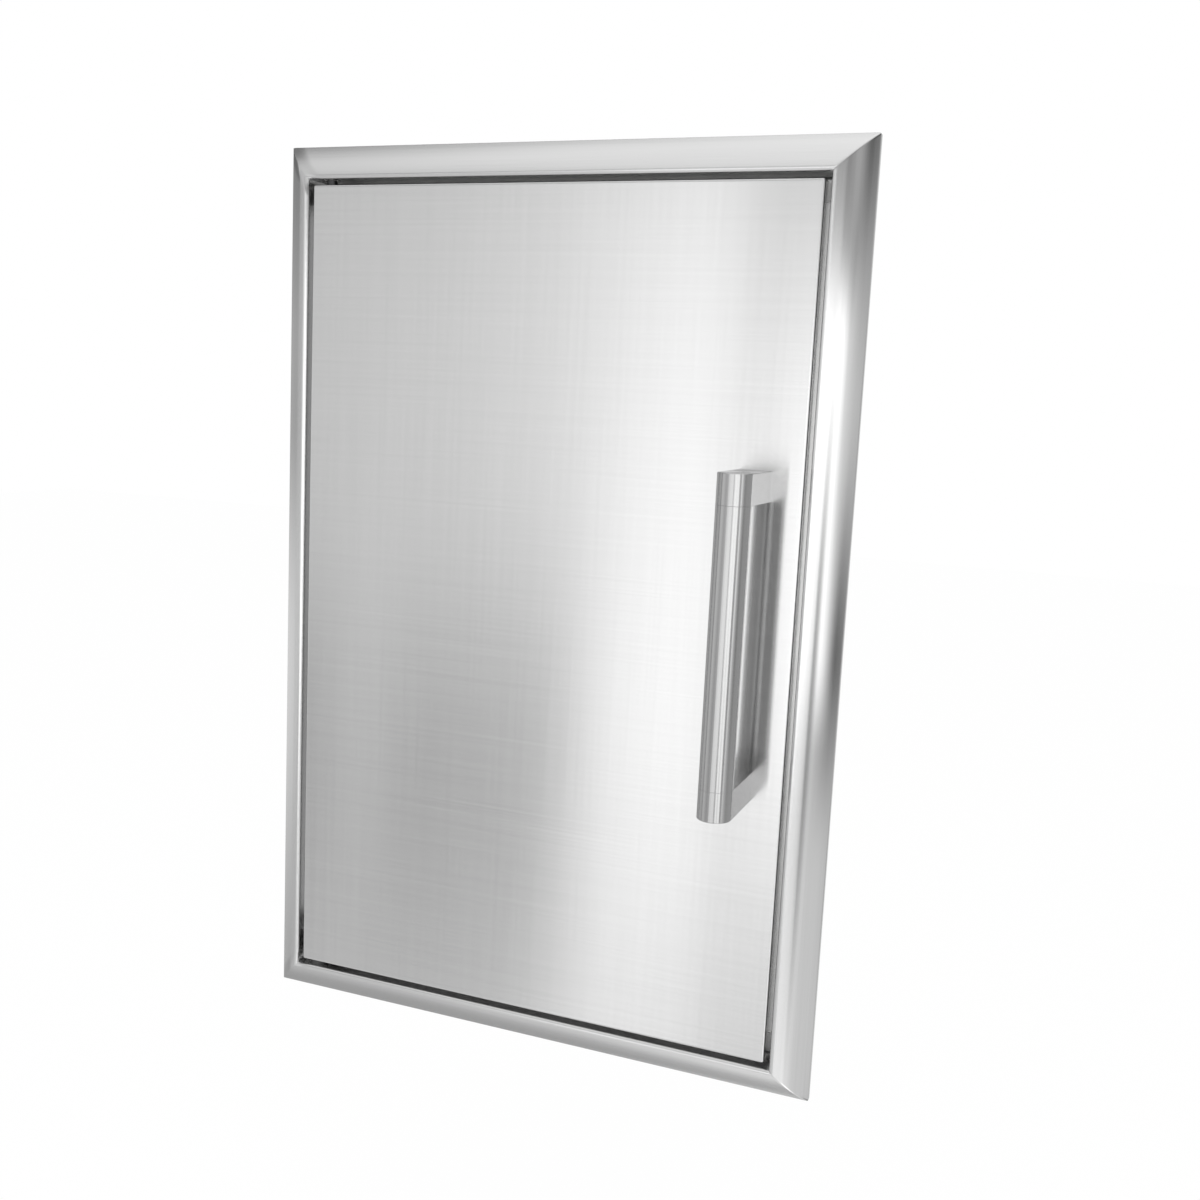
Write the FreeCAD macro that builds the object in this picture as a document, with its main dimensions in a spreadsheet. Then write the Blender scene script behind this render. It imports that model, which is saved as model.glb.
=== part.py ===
import FreeCAD, Part
import math
import os
from types import SimpleNamespace

import Sketcher
from FreeCAD import Rotation, Vector

# Access door for the side of an outdoor kitchen island.
# The frame: x to the right, y into the wall, z up. The origin is the centre of the trim frame,
# on the plane of the wall that its lip lies on. Lengths are in millimetres.

DRIVING_SIZES = {
    # Trim frame: outline, and the sheet that it is folded from
    "trim_width": 406.4,
    "trim_height": 609.6,
    "trim_sheet": 1.2,
    "corner_radius": 2.0,
    # Trim profile, from the lip on the wall to the return at the back of the sleeve
    "lip_width": 8.0,
    "fold_inside_radius": 0.4,
    "edge_flat": 0.9,
    "shoulder_inside_radius": 1.8,
    "bevel_radius": 50.0,
    "nose_inside_radius": 1.0,
    "nose_height": 21.4,
    "opening_inset": 24.2,
    "sleeve_depth": 44.0,
    "sleeve_fold_radius": 0.8,
    "rear_return": 8.0,
    # Screw holes in the sleeve, into the island's framing
    "sleeve_hole_diameter": 5.0,
    "sleeve_hole_depth": 28.0,
    "side_hole_spacing": 380.0,
    "end_hole_spacing": 220.0,
    # Door: an outer pan and an inner tray
    "door_gap": 3.7,
    "door_face_height": 20.6,
    "door_thickness": 18.0,
    "skin_sheet": 1.2,
    "skin_fold_radius": 1.6,
    "liner_sheet": 1.0,
    "liner_flange": 4.0,
    "liner_fold_radius": 1.3,
    "liner_clearance": 0.1,
    # Handle
    "bar_diameter": 21.2,
    "bar_wall": 1.5,
    "bar_inset": 30.8,
    "bar_standoff": 44.4,
    "handle_centres": 189.6,
    "handle_end_height": 19.0,
    "handle_end_chamfer": 0.4,
    "seam_chamfer": 0.25,
    "spigot_length": 9.0,
    "spigot_clearance": 0.05,
    "handle_screw_diameter": 6.0,
    "handle_screw_reach": 20.0,
    "screw_clearance": 0.05,
    "screw_head_diameter": 12.0,
    "screw_head_height": 3.6,
    "screw_head_chamfer": 1.2,
    "backing_width": 26.0,
    "backing_margin": 17.8,
    "backing_sheet": 2.0,
    "plug_hole_diameter": 14.0,
    "plug_rim_width": 2.0,
    "plug_rim_height": 1.0,
    "plug_rim_chamfer": 0.6,
    "plug_stem_length": 4.0,
    "plug_clearance": 0.1,
    # Pivots
    "pivot_inset": 9.7,
    "pivot_depth": 8.4,
    "pin_diameter": 7.0,
    "pin_clearance": 0.05,
    "pin_reach": 7.2,
    "pin_tip_chamfer": 1.0,
    "skin_hole_clearance": 0.5,
    "bracket_sheet": 1.5,
    "bracket_width": 14.0,
    "bracket_fold_radius": 1.9,
    "bracket_back": 5.4,
    "upper_bracket_height": 38.0,
    "lower_bracket_height": 28.0,
    "collar_diameter": 9.4,
    "collar_height": 3.0,
    "collar_clearance": 0.1,
    "spring_wire": 0.9,
    "spring_mean_diameter": 8.5,
    "spring_turns": 6.0,
    "pin_travel": 9.0,
    "tab_drop": 8.0,
    "tab_shaft_diameter": 3.6,
    "tab_head_diameter": 9.0,
    "tab_head_height": 2.6,
    "tab_head_chamfer": 0.8,
    "tab_standoff": 1.2,
    "tab_shaft_end": 0.6,
    "tab_slot_margin": 0.7,
    "pin_tail": 5.0,
    "lower_flange_diameter": 9.4,
    "lower_flange_height": 2.0,
    "lower_pin_tail": 3.0,
    "washer_diameter": 13.0,
    "washer_clearance": 0.1,
    "bush_wall": 1.5,
    "bush_flange_width": 1.3,
    "bush_flange_height": 1.5,
    "doubler_sheet": 2.5,
    "doubler_length": 22.0,
    "doubler_width": 12.4,
    # Door stops
    "stop_sheet": 1.2,
    "stop_fold_inside_radius": 0.4,
    "stop_gap": 5.0,
    "stop_foot": 12.0,
    "end_stop_leg": 14.0,
    "side_stop_leg": 20.0,
    "stop_end_clearance": 0.5,
    # Rubber bumpers on the right-hand stop
    "bumper_end_distance": 29.5,
    "bumper_inset": 10.5,
    "bumper_diameter": 10.0,
    "bumper_chamfer": 1.2,
    "bumper_clearance": 0.2,
    "bumper_neck_diameter": 4.0,
    "bumper_barb_diameter": 6.5,
    "bumper_barb_height": 2.5,
    # Magnetic catch, through a window in the right-hand stop
    "catch_inset": 11.9,
    "catch_width": 9.6,
    "catch_height": 38.0,
    "catch_depth": 13.8,
    "catch_wall": 1.1,
    "catch_ear_height": 9.0,
    "catch_ear_sheet": 2.0,
    "catch_corner_radius": 1.0,
    "window_clearance": 0.2,
    "catch_gap": 0.3,
    "pole_sheet": 1.2,
    "pole_proud": 0.25,
    "magnet_recess": 0.5,
    "magnet_height": 28.0,
    "magnet_depth": 9.0,
    "magnet_clearance": 0.1,
    "catch_screw_diameter": 3.0,
    "catch_screw_head_diameter": 5.6,
    "catch_screw_head_height": 2.0,
    "catch_screw_head_chamfer": 0.7,
    "strike_sheet": 1.2,
    "strike_width": 11.0,
    "strike_height": 53.0,
    "strike_corner_radius": 1.5,
    "rivet_diameter": 3.2,
    "rivet_head_diameter": 6.0,
    "rivet_head_height": 0.9,
    "rivet_spacing": 45.0,
}

document = FreeCAD.newDocument("island_access_door")
sub_parts = []


class Size:
    """A length that knows its number and the text of the expression that gives it."""

    def __init__(self, number, text):
        self.number = float(number)
        self.text = text

    @staticmethod
    def of(other):
        return other if isinstance(other, Size) else Size(other, repr(float(other)))

    def __add__(self, other):
        other = Size.of(other)
        return Size(self.number + other.number, f"({self.text} + {other.text})")

    def __sub__(self, other):
        other = Size.of(other)
        return Size(self.number - other.number, f"({self.text} - {other.text})")

    def __mul__(self, other):
        other = Size.of(other)
        return Size(self.number * other.number, f"({self.text} * {other.text})")

    def __truediv__(self, other):
        other = Size.of(other)
        return Size(self.number / other.number, f"({self.text} / {other.text})")

    def __radd__(self, other):
        return Size.of(other) + self

    def __rsub__(self, other):
        return Size.of(other) - self

    def __rmul__(self, other):
        return Size.of(other) * self

    def __neg__(self):
        return Size(-self.number, f"(0 - {self.text})")

    def root(self):
        return Size(math.sqrt(self.number), f"sqrt({self.text})")


def fill_sheet():
    """Writes each driving size to its own cell, and reads them back by name."""
    sheet = document.addObject("Spreadsheet::Sheet", "sizes")
    for row, (name, number) in enumerate(DRIVING_SIZES.items(), start=1):
        sheet.set(f"A{row}", name)
        sheet.set(f"B{row}", str(number))
        sheet.setAlias(f"B{row}", name)
    document.recompute()
    return SimpleNamespace(
        **{name: Size(sheet.get(name), f"sizes.{name}") for name in DRIVING_SIZES}
    )


size = fill_sheet()
derived = document.addObject("App::VarSet", "derived")


def derive(name, value):
    """Keeps a worked-out size under its own name, bound to the sizes it comes from."""
    derived.addProperty("App::PropertyFloat", name, "Derived")
    setattr(derived, name, value.number)
    derived.setExpression(name, value.text)
    return Size(value.number, f"derived.{name}")


# Places that several pieces share
half_width = derive("half_width", size.trim_width / 2)
half_height = derive("half_height", size.trim_height / 2)
opening_x = derive("opening_x", half_width - size.opening_inset)
opening_z = derive("opening_z", half_height - size.opening_inset)
door_x = derive("door_x", opening_x - size.door_gap)
door_z = derive("door_z", opening_z - size.door_gap)
door_front = derive("door_front", -size.door_face_height)
door_back = derive("door_back", door_front + size.door_thickness)
pivot_x = derive("pivot_x", size.pivot_inset - door_x)
pivot_y = derive("pivot_y", door_front + size.pivot_depth)
stop_front = derive("stop_front", door_back + size.stop_gap)
stop_back = derive("stop_back", stop_front + size.stop_sheet)
bar_x = derive("bar_x", door_x - size.bar_inset)
bar_y = derive("bar_y", door_front - size.bar_standoff)
bar_radius = derive("bar_radius", size.bar_diameter / 2)
bar_half_length = derive("bar_half_length", (size.handle_centres - size.handle_end_height) / 2)
pin_radius = derive("pin_radius", size.pin_diameter / 2)
catch_x = derive("catch_x", opening_x - size.catch_inset)
zero = Size(0, "0")


def bind(thing, name, value):
    """Sets a property's number and binds it to its expression."""
    value = Size.of(value)
    thing.setExpression(name, value.text)


def new_body(label, x=zero, y=zero, z=zero, turn_about_y=0):
    """A body whose own origin stands at x, y, z, turned about the y axis."""
    body = document.addObject("PartDesign::Body", label)
    body.Label = label
    body.Placement.Rotation = Rotation(Vector(0, 1, 0), turn_about_y)
    for axis, value in (("x", x), ("y", y), ("z", z)):
        if value is not zero:
            bind(body, f"Placement.Base.{axis}", value)
    return body


def new_sketch(body, name, plane, offset=zero):
    """A sketch on one of the body's own planes, moved along that plane's normal."""
    sketch = body.newObject("Sketcher::SketchObject", name)
    origin_plane = next(f for f in body.Origin.OriginFeatures if f.Role == plane)
    sketch.AttachmentSupport = (origin_plane, [""])
    sketch.MapMode = "FlatFace"
    if offset is not zero:
        bind(sketch, "AttachmentOffset.Base.z", offset)
    return sketch


def fix(sketch, kind, geometry, point, value):
    """Constrains one coordinate of a point, or the radius where point is None."""
    if point is None:
        index = sketch.addConstraint(Sketcher.Constraint(kind, geometry, value.number))
    else:
        index = sketch.addConstraint(
            Sketcher.Constraint(kind, -1, 1, geometry, point, value.number)
        )
    bind(sketch, f"Constraints[{index}]", value)


def arc_between(start, end, radius, turn):
    """The arc under a half circle from start to end. turn is 1 to the left and -1 to the right."""
    chord = end - start
    rise = math.sqrt(max(radius**2 - (chord.Length / 2) ** 2, 0.0))
    left = Vector(-chord.y, chord.x, 0).normalize()
    centre = (start + end) / 2 + left * (turn * rise)
    first, last = (start, end) if turn > 0 else (end, start)
    angles = [math.atan2(p.y - centre.y, p.x - centre.x) for p in (first, last)]
    circle = Part.Circle(centre, Vector(0, 0, 1), radius)
    return Part.ArcOfCircle(circle, angles[0], angles[1])


def draw_outline(sketch, corners):
    """A closed outline. A corner is (x, y) or (x, y, radius, turn), where the last two make the
    side that leaves it an arc."""
    places = [tuple(Size.of(c) for c in corner[:2]) for corner in corners]
    points = [Vector(x.number, y.number, 0) for x, y in places]
    starts, ends, curves = [], [], []
    for index, corner in enumerate(corners):
        here, there = points[index], points[(index + 1) % len(points)]
        if len(corner) == 2:
            curves.append(sketch.addGeometry(Part.LineSegment(here, there), False))
            starts.append(1)
            ends.append(2)
            continue
        radius, turn = Size.of(corner[2]), corner[3]
        arc = arc_between(here, there, radius.number, turn)
        curves.append(sketch.addGeometry(arc, False))
        starts.append(1 if turn > 0 else 2)
        ends.append(2 if turn > 0 else 1)
    for index, curve in enumerate(curves):
        following = (index + 1) % len(curves)
        sketch.addConstraint(
            Sketcher.Constraint(
                "Coincident", curve, ends[index], curves[following], starts[following]
            )
        )
    for index, curve in enumerate(curves):
        fix(sketch, "DistanceX", curve, starts[index], places[index][0])
        fix(sketch, "DistanceY", curve, starts[index], places[index][1])
        if len(corners[index]) > 2:
            fix(sketch, "Radius", curve, None, Size.of(corners[index][2]))


def draw_circle(sketch, x, y, radius):
    x, y, radius = Size.of(x), Size.of(y), Size.of(radius)
    circle = Part.Circle(Vector(x.number, y.number, 0), Vector(0, 0, 1), radius.number)
    curve = sketch.addGeometry(circle, False)
    fix(sketch, "DistanceX", curve, 3, x)
    fix(sketch, "DistanceY", curve, 3, y)
    fix(sketch, "Radius", curve, None, radius)


def draw_rectangle(sketch, half_x, half_y, centre_x=zero, centre_y=zero):
    left, right = centre_x - half_x, centre_x + half_x
    low, high = centre_y - half_y, centre_y + half_y
    draw_outline(sketch, [(left, low), (right, low), (right, high), (left, high)])


def extrude(body, kind, sketch, name, length=None, symmetric=False, backwards=False):
    """A Pad or a Pocket of a sketch. With no length it goes through everything."""
    feature = body.newObject(f"PartDesign::{kind}", name)
    feature.Profile = sketch
    if symmetric:
        feature.SideType = "Symmetric"
    feature.Reversed = backwards
    if length is None:
        feature.Type = "ThroughAll"
    else:
        bind(feature, "Length", length)
    return feature


def pad(body, sketch, name, length, symmetric=False, backwards=False):
    return extrude(body, "Pad", sketch, name, length, symmetric, backwards)


def pocket(body, sketch, name, length=None, symmetric=False, backwards=False):
    """Cuts a sketch out of the body, and checks that the cut took something away."""
    document.recompute()
    before = body.Shape.Volume
    feature = extrude(body, "Pocket", sketch, name, length, symmetric, backwards)
    document.recompute()
    if body.Shape.Volume >= before:
        raise RuntimeError(f"{body.Label}: {name} cuts nothing")
    return feature


def revolve(body, sketch, name, axis="V_Axis"):
    feature = body.newObject("PartDesign::Revolution", name)
    feature.Profile = sketch
    feature.ReferenceAxis = (sketch, [axis])
    feature.Angle = 360
    return feature


def dress_edges(body, kind, name, value, wanted):
    """A Fillet or Chamfer of the edges of the body so far that wanted(edge) picks."""
    document.recompute()
    base = body.Tip
    names = [f"Edge{i}" for i, edge in enumerate(base.Shape.Edges, start=1) if wanted(edge)]
    feature = body.newObject(f"PartDesign::{kind}", name)
    feature.Base = (base, names)
    bind(feature, "Radius" if kind == "Fillet" else "Size", value)
    return feature


def edge_lies_at(edge, axis, value, tolerance=0.01):
    """True where every vertex of the edge has that coordinate along x, y or z of the body."""
    return all(abs(getattr(v.Point, axis) - value) < tolerance for v in edge.Vertexes)


def keep(thing, label=None):
    """Marks an object as a sub-part to be written out."""
    if label is not None:
        thing.Label = label
    sub_parts.append(thing)
    return thing


def keep_pair(body, label):
    """A sub-part of two like pieces: the body, and its mirror image across the plane z = 0."""
    twin = document.addObject("Part::Mirroring", f"{label}_lower")
    twin.Source = body
    twin.Base = Vector(0, 0, 0)
    twin.Normal = Vector(0, 0, 1)
    pair = document.addObject("Part::Compound", label)
    pair.Links = [body, twin]
    return keep(pair, label)


# Trim frame

fold_radius = derive("fold_radius", size.fold_inside_radius + size.trim_sheet)
edge_height = derive("edge_height", fold_radius + size.edge_flat)
shoulder_radius = derive("shoulder_radius", size.shoulder_inside_radius + size.trim_sheet)
nose_radius = derive("nose_radius", size.nose_inside_radius + size.trim_sheet)
nose_start = derive("nose_start", size.nose_height - nose_radius)


def bevel_points():
    """Where the long bevel arc meets the shoulder and the nose, on the outer and inner face of
    the sheet. Its centre is found from the two small arcs, which it touches from outside.
    Coordinates are depth behind the wall plane and distance from the outer edge."""
    shoulder = (-edge_height, shoulder_radius)
    nose = (-nose_start, size.opening_inset - nose_radius)
    to_shoulder = size.bevel_radius - shoulder_radius
    to_nose = size.bevel_radius - nose_radius
    run = [nose[k] - shoulder[k] for k in range(2)]
    span = derive("bevel_span", (run[0] * run[0] + run[1] * run[1]).root())
    along = derive(
        "bevel_along",
        (to_shoulder * to_shoulder - to_nose * to_nose + span * span) / (2 * span),
    )
    aside = derive("bevel_aside", (to_shoulder * to_shoulder - along * along).root())
    centre = (
        derive("bevel_centre_y", shoulder[0] + (along * run[0] + aside * run[1]) / span),
        derive("bevel_centre_s", shoulder[1] + (along * run[1] - aside * run[0]) / span),
    )
    points = []
    for name, small, reach in (("shoulder", shoulder, to_shoulder), ("nose", nose, to_nose)):
        for face, radius in (
            ("outer", size.bevel_radius),
            ("inner", size.bevel_radius - size.trim_sheet),
        ):
            share = radius / reach
            points.append(
                tuple(
                    derive(
                        f"bevel_{name}_{face}_{axis}",
                        centre[k] + (small[k] - centre[k]) * share,
                    )
                    for k, axis in enumerate("ys")
                )
            )
    return points


def trim_profile():
    """The folded sheet's outline: lip, upright edge, shoulder, bevel, nose, sleeve and return."""
    sheet = size.trim_sheet
    inset = size.opening_inset
    shoulder_out, shoulder_in, nose_out, nose_in = bevel_points()
    back = size.sleeve_depth
    turn_start = back - sheet - size.sleeve_fold_radius
    return_end = inset + size.rear_return
    left, right = 1, -1
    return [
        (zero, size.lip_width),
        (zero, fold_radius, fold_radius, right),
        (-fold_radius, zero),
        (-edge_height, zero, shoulder_radius, right),
        (*shoulder_out, size.bevel_radius, right),
        (*nose_out, nose_radius, right),
        (-nose_start, inset),
        (turn_start, inset, size.sleeve_fold_radius, left),
        (back - sheet, inset + size.sleeve_fold_radius),
        (back - sheet, return_end),
        (back, return_end),
        (back, inset + size.sleeve_fold_radius, size.sleeve_fold_radius + sheet, right),
        (turn_start, inset - sheet),
        (-nose_start, inset - sheet, size.nose_inside_radius, left),
        (*nose_in, size.bevel_radius - sheet, left),
        (*shoulder_in, size.shoulder_inside_radius, left),
        (-edge_height, sheet),
        (-fold_radius, sheet, size.fold_inside_radius, left),
        (-sheet, fold_radius),
        (-sheet, size.lip_width),
    ]


PROFILE = trim_profile()
DIAGONAL = math.sqrt(0.5)


def cut_mitres(body, length):
    """Cuts both ends at 45 degrees, with the outer corner rounded."""
    radius = size.corner_radius
    tip = length / 2
    reach = size.opening_inset + size.rear_return + size.lip_width
    past = size.lip_width
    rounded = radius * (1 - DIAGONAL)
    sketch = new_sketch(body, "mitres", "XZ_Plane")
    for side in (1, -1):
        draw_outline(
            sketch,
            [
                (side * (tip - radius), zero, radius, side),
                (side * (tip - rounded), rounded),
                (side * (tip - reach), reach),
                (side * (tip + past), reach),
                (side * (tip + past), -past),
                (side * (tip - radius), -past),
            ],
        )
    pocket(body, sketch, "mitre_cuts", symmetric=True)


def trim_member(label, length, turn, spacing, x=zero, z=zero, pivot=None):
    """One mitred side of the trim. Its own x runs along it and its own z points at the opening.
    spacing is that of its two screw holes, and pivot the place of a pin bush along it."""
    body = new_body(label, x=x, z=z, turn_about_y=turn)
    profile = new_sketch(body, "profile", "YZ_Plane")
    draw_outline(profile, PROFILE)
    pad(body, profile, "folded_sheet", length, symmetric=True)
    cut_mitres(body, length)
    holes = new_sketch(body, "screw_hole_places", "XY_Plane")
    for side in (-1, 1):
        draw_circle(
            holes, side * spacing / 2, size.sleeve_hole_depth, size.sleeve_hole_diameter / 2
        )
    pocket(body, holes, "screw_holes", symmetric=True)
    if pivot is not None:
        place = new_sketch(body, "bush_place", "XY_Plane", offset=size.opening_inset)
        draw_circle(place, pivot, pivot_y, bush_radius)
        pocket(body, place, "bush_hole", length=2 * size.trim_sheet)
    return keep(body)


bush_radius = derive("bush_radius", pin_radius + size.pin_clearance + size.bush_wall)


def build_trim():
    trim_member(
        "frame_top_rail",
        size.trim_width,
        180,
        size.end_hole_spacing,
        z=half_height,
        pivot=-pivot_x,
    )
    trim_member(
        "frame_bottom_rail",
        size.trim_width,
        0,
        size.end_hole_spacing,
        z=-half_height,
        pivot=pivot_x,
    )
    trim_member(
        "frame_left_stile", size.trim_height, 90, size.side_hole_spacing, x=-half_width
    )
    trim_member(
        "frame_right_stile", size.trim_height, -90, size.side_hole_spacing, x=half_width
    )


# Pivot fittings on the frame


def frame_bush(label, z, turn):
    """A flanged bush, pushed in from the hollow behind the bevel. Its own z points away from the
    door, from the opening's face."""
    body = new_body(label, x=pivot_x, y=pivot_y, z=z, turn_about_y=turn)
    bore = pin_radius + size.pin_clearance
    seat = size.trim_sheet + size.doubler_sheet
    top = seat + size.bush_flange_height
    flange = bush_radius + size.bush_flange_width
    section = new_sketch(body, "section", "XZ_Plane")
    draw_outline(
        section,
        [
            (bore, zero),
            (bush_radius, zero),
            (bush_radius, seat),
            (flange, seat),
            (flange, top),
            (bore, top),
        ],
    )
    revolve(body, section, "turned_bush")
    keep(body)


def doubler(label, z, turn):
    """The plate that thickens the trim's wall round a bush."""
    body = new_body(label, x=pivot_x, y=pivot_y, z=z, turn_about_y=turn)
    outline = new_sketch(body, "outline", "XY_Plane", offset=size.trim_sheet)
    draw_rectangle(outline, size.doubler_length / 2, size.doubler_width / 2)
    draw_circle(outline, zero, zero, bush_radius)
    pad(body, outline, "plate", size.doubler_sheet)
    keep(body)


def thrust_washer():
    """The washer that the door turns on, lying on the bottom rail."""
    body = new_body("lower_thrust_washer", x=pivot_x, y=pivot_y, z=-opening_z)
    ring = new_sketch(body, "ring", "XY_Plane")
    draw_circle(ring, zero, zero, size.washer_diameter / 2)
    draw_circle(ring, zero, zero, pin_radius + size.pin_clearance)
    pad(body, ring, "washer", size.door_gap - size.washer_clearance)
    keep(body)


def build_frame_pivots():
    frame_bush("upper_pivot_bush", opening_z, 0)
    frame_bush("lower_pivot_bush", -opening_z, 180)
    doubler("upper_pivot_doubler", opening_z, 0)
    doubler("lower_pivot_doubler", -opening_z, 180)
    thrust_washer()


# Door stops, bumpers and catch

stop_fold = derive("stop_fold", size.stop_fold_inside_radius + size.stop_sheet)
side_stop_half = derive("side_stop_half", opening_z - size.end_stop_leg - size.stop_end_clearance)
bumper_z = derive("bumper_z", side_stop_half - size.bumper_end_distance)


def stop_strip(label, length, leg, turn, x=zero, z=zero):
    """An angle strip: its foot lies on the sleeve's wall and its leg stands behind the door."""
    body = new_body(label, x=x, z=z, turn_about_y=turn)
    section = new_sketch(body, "section", "YZ_Plane")
    left, right = 1, -1
    draw_outline(
        section,
        [
            (stop_front + size.stop_foot, zero),
            (stop_front + stop_fold, zero, stop_fold, right),
            (stop_front, stop_fold),
            (stop_front, leg),
            (stop_back, leg),
            (stop_back, stop_fold, size.stop_fold_inside_radius, left),
            (stop_front + stop_fold, size.stop_sheet),
            (stop_front + size.stop_foot, size.stop_sheet),
        ],
    )
    pad(body, section, "angle", length, symmetric=True)
    return body


def cut_side_stop(body):
    """The window for the catch, its two screw holes and the two bumper holes."""
    window = new_sketch(body, "window", "XZ_Plane")
    draw_rectangle(
        window,
        size.catch_height / 2 + size.window_clearance,
        size.catch_width / 2 + size.window_clearance,
        centre_y=size.catch_inset,
    )
    pocket(body, window, "catch_window", symmetric=True)
    holes = new_sketch(body, "hole_places", "XZ_Plane")
    for side in (-1, 1):
        draw_circle(
            holes, side * catch_screw_z, size.catch_inset, size.catch_screw_diameter / 2
        )
        draw_circle(
            holes, side * bumper_z, size.bumper_inset, size.bumper_neck_diameter / 2
        )
    pocket(body, holes, "holes", symmetric=True)


catch_screw_z = derive("catch_screw_z", (size.catch_height + size.catch_ear_height) / 2)


def bumpers():
    """Two rubber buttons, each held by a barb behind the stop's leg."""
    body = new_body("door_bumper_upper", x=opening_x - size.bumper_inset, z=bumper_z)
    neck = size.bumper_neck_diameter / 2 - size.screw_clearance
    barb = size.bumper_barb_diameter / 2
    radius = size.bumper_diameter / 2
    tip = door_back + size.bumper_clearance
    chamfer = size.bumper_chamfer
    section = new_sketch(body, "section", "XY_Plane")
    draw_outline(
        section,
        [
            (zero, tip),
            (zero, stop_back + size.bumper_barb_height),
            (neck, stop_back + size.bumper_barb_height),
            (barb, stop_back),
            (neck, stop_back),
            (neck, stop_front),
            (radius, stop_front),
            (radius, tip + chamfer),
            (radius - chamfer, tip),
        ],
    )
    revolve(body, section, "button")
    keep_pair(body, "door_bumpers")


catch_front = derive("catch_front", door_back + size.strike_sheet + size.catch_gap)


def block(body, name, near, far, half_x, half_z):
    """A box of the body from y = near to y = far, centred on its own y axis."""
    sketch = new_sketch(body, f"{name}_outline", "XZ_Plane", offset=-near)
    draw_rectangle(sketch, half_x, half_z)
    return pad(body, sketch, name, far - near, backwards=True)


def catch_housing():
    """The moulded body of the catch: a box through the window, with an ear at each end."""
    body = new_body("catch_housing", x=catch_x)
    half_x = size.catch_width / 2
    half_z = size.catch_height / 2
    block(body, "box", catch_front, stop_back + size.catch_depth, half_x, half_z)
    ear_back = stop_back + size.catch_ear_sheet
    block(body, "ears", stop_back, ear_back, half_x, half_z + size.catch_ear_height)
    far_end = (half_z + size.catch_ear_height).number
    dress_edges(
        body,
        "Fillet",
        "rounded_corners",
        size.catch_corner_radius,
        lambda e: abs(e.Length - size.catch_ear_sheet.number) < 0.01
        and all(abs(abs(v.Point.z) - far_end) < 0.01 for v in e.Vertexes),
    )
    well = new_sketch(body, "well_outline", "XZ_Plane", offset=-catch_front)
    draw_rectangle(well, half_x - size.catch_wall, size.magnet_height / 2 + size.magnet_clearance)
    pocket(
        body, well, "well", length=size.magnet_depth + size.magnet_recess, backwards=False
    )
    holes = new_sketch(body, "hole_places", "XZ_Plane")
    for side in (-1, 1):
        draw_circle(
            holes,
            zero,
            side * catch_screw_z,
            size.catch_screw_diameter / 2 + size.screw_clearance,
        )
    pocket(body, holes, "screw_holes", symmetric=True)
    keep(body)


def magnet_and_poles():
    """A bar magnet between two steel plates, whose edges stand a little proud of it."""
    pole_far = size.catch_width / 2 - size.catch_wall - size.magnet_clearance
    pole_near = pole_far - size.pole_sheet
    front = catch_front - size.pole_proud
    floor = catch_front + size.magnet_recess + size.magnet_depth
    magnet = document.addObject("Part::Box", "catch_magnet")
    bind(magnet, "Length", 2 * (pole_near - size.magnet_clearance))
    bind(magnet, "Width", size.magnet_depth)
    bind(magnet, "Height", size.magnet_height)
    bind(magnet, "Placement.Base.x", catch_x - pole_near + size.magnet_clearance)
    bind(magnet, "Placement.Base.y", catch_front + size.magnet_recess)
    bind(magnet, "Placement.Base.z", -size.magnet_height / 2)
    keep(magnet, "catch_magnet")
    plates = []
    for side, edge in (("left", -pole_far), ("right", pole_near)):
        plate = document.addObject("Part::Box", f"catch_pole_{side}")
        bind(plate, "Length", size.pole_sheet)
        bind(plate, "Width", floor - front)
        bind(plate, "Height", size.magnet_height)
        bind(plate, "Placement.Base.x", catch_x + edge)
        bind(plate, "Placement.Base.y", front)
        bind(plate, "Placement.Base.z", -size.magnet_height / 2)
        plates.append(plate)
    poles = document.addObject("Part::Compound", "catch_poles")
    poles.Links = plates
    keep(poles, "catch_poles")


def pan_screw(body, seat, tip, shank_radius, head_radius, head_height, chamfer):
    """A screw on the body's y axis, with its chamfered head's flat face at y = seat and its
    point at y = tip. The head stands behind the seat, on the side of larger y."""
    top = seat + head_height
    section = new_sketch(body, "section", "XY_Plane")
    draw_outline(
        section,
        [
            (zero, tip),
            (zero, top),
            (head_radius - chamfer, top),
            (head_radius, top - chamfer),
            (head_radius, seat),
            (shank_radius, seat),
            (shank_radius, tip),
        ],
    )
    revolve(body, section, "turned_screw")


def catch_screws():
    body = new_body("catch_screw_upper", x=catch_x, z=catch_screw_z)
    pan_screw(
        body,
        stop_back + size.catch_ear_sheet,
        stop_front,
        size.catch_screw_diameter / 2 - size.screw_clearance,
        size.catch_screw_head_diameter / 2,
        size.catch_screw_head_height,
        size.catch_screw_head_chamfer,
    )
    keep_pair(body, "catch_screws")


def build_stops():
    across = 2 * (opening_x - size.stop_end_clearance)
    upright = 2 * side_stop_half
    keep(stop_strip("door_stop_top", across, size.end_stop_leg, 180, z=opening_z))
    keep(stop_strip("door_stop_bottom", across, size.end_stop_leg, 0, z=-opening_z))
    side = stop_strip("door_stop_right", upright, size.side_stop_leg, -90, x=opening_x)
    cut_side_stop(side)
    keep(side)
    bumpers()
    catch_housing()
    magnet_and_poles()
    catch_screws()


# Door panels


def rounded_corners(half_x, half_z, radius):
    """Corners of an upright rectangle with rounded corners."""
    x, z = half_x, half_z
    return [
        (radius - x, -z),
        (x - radius, -z, radius, 1),
        (x, radius - z),
        (x, z - radius, radius, 1),
        (x - radius, z),
        (radius - x, z, radius, 1),
        (-x, z - radius),
        (-x, radius - z, radius, 1),
    ]


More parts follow.
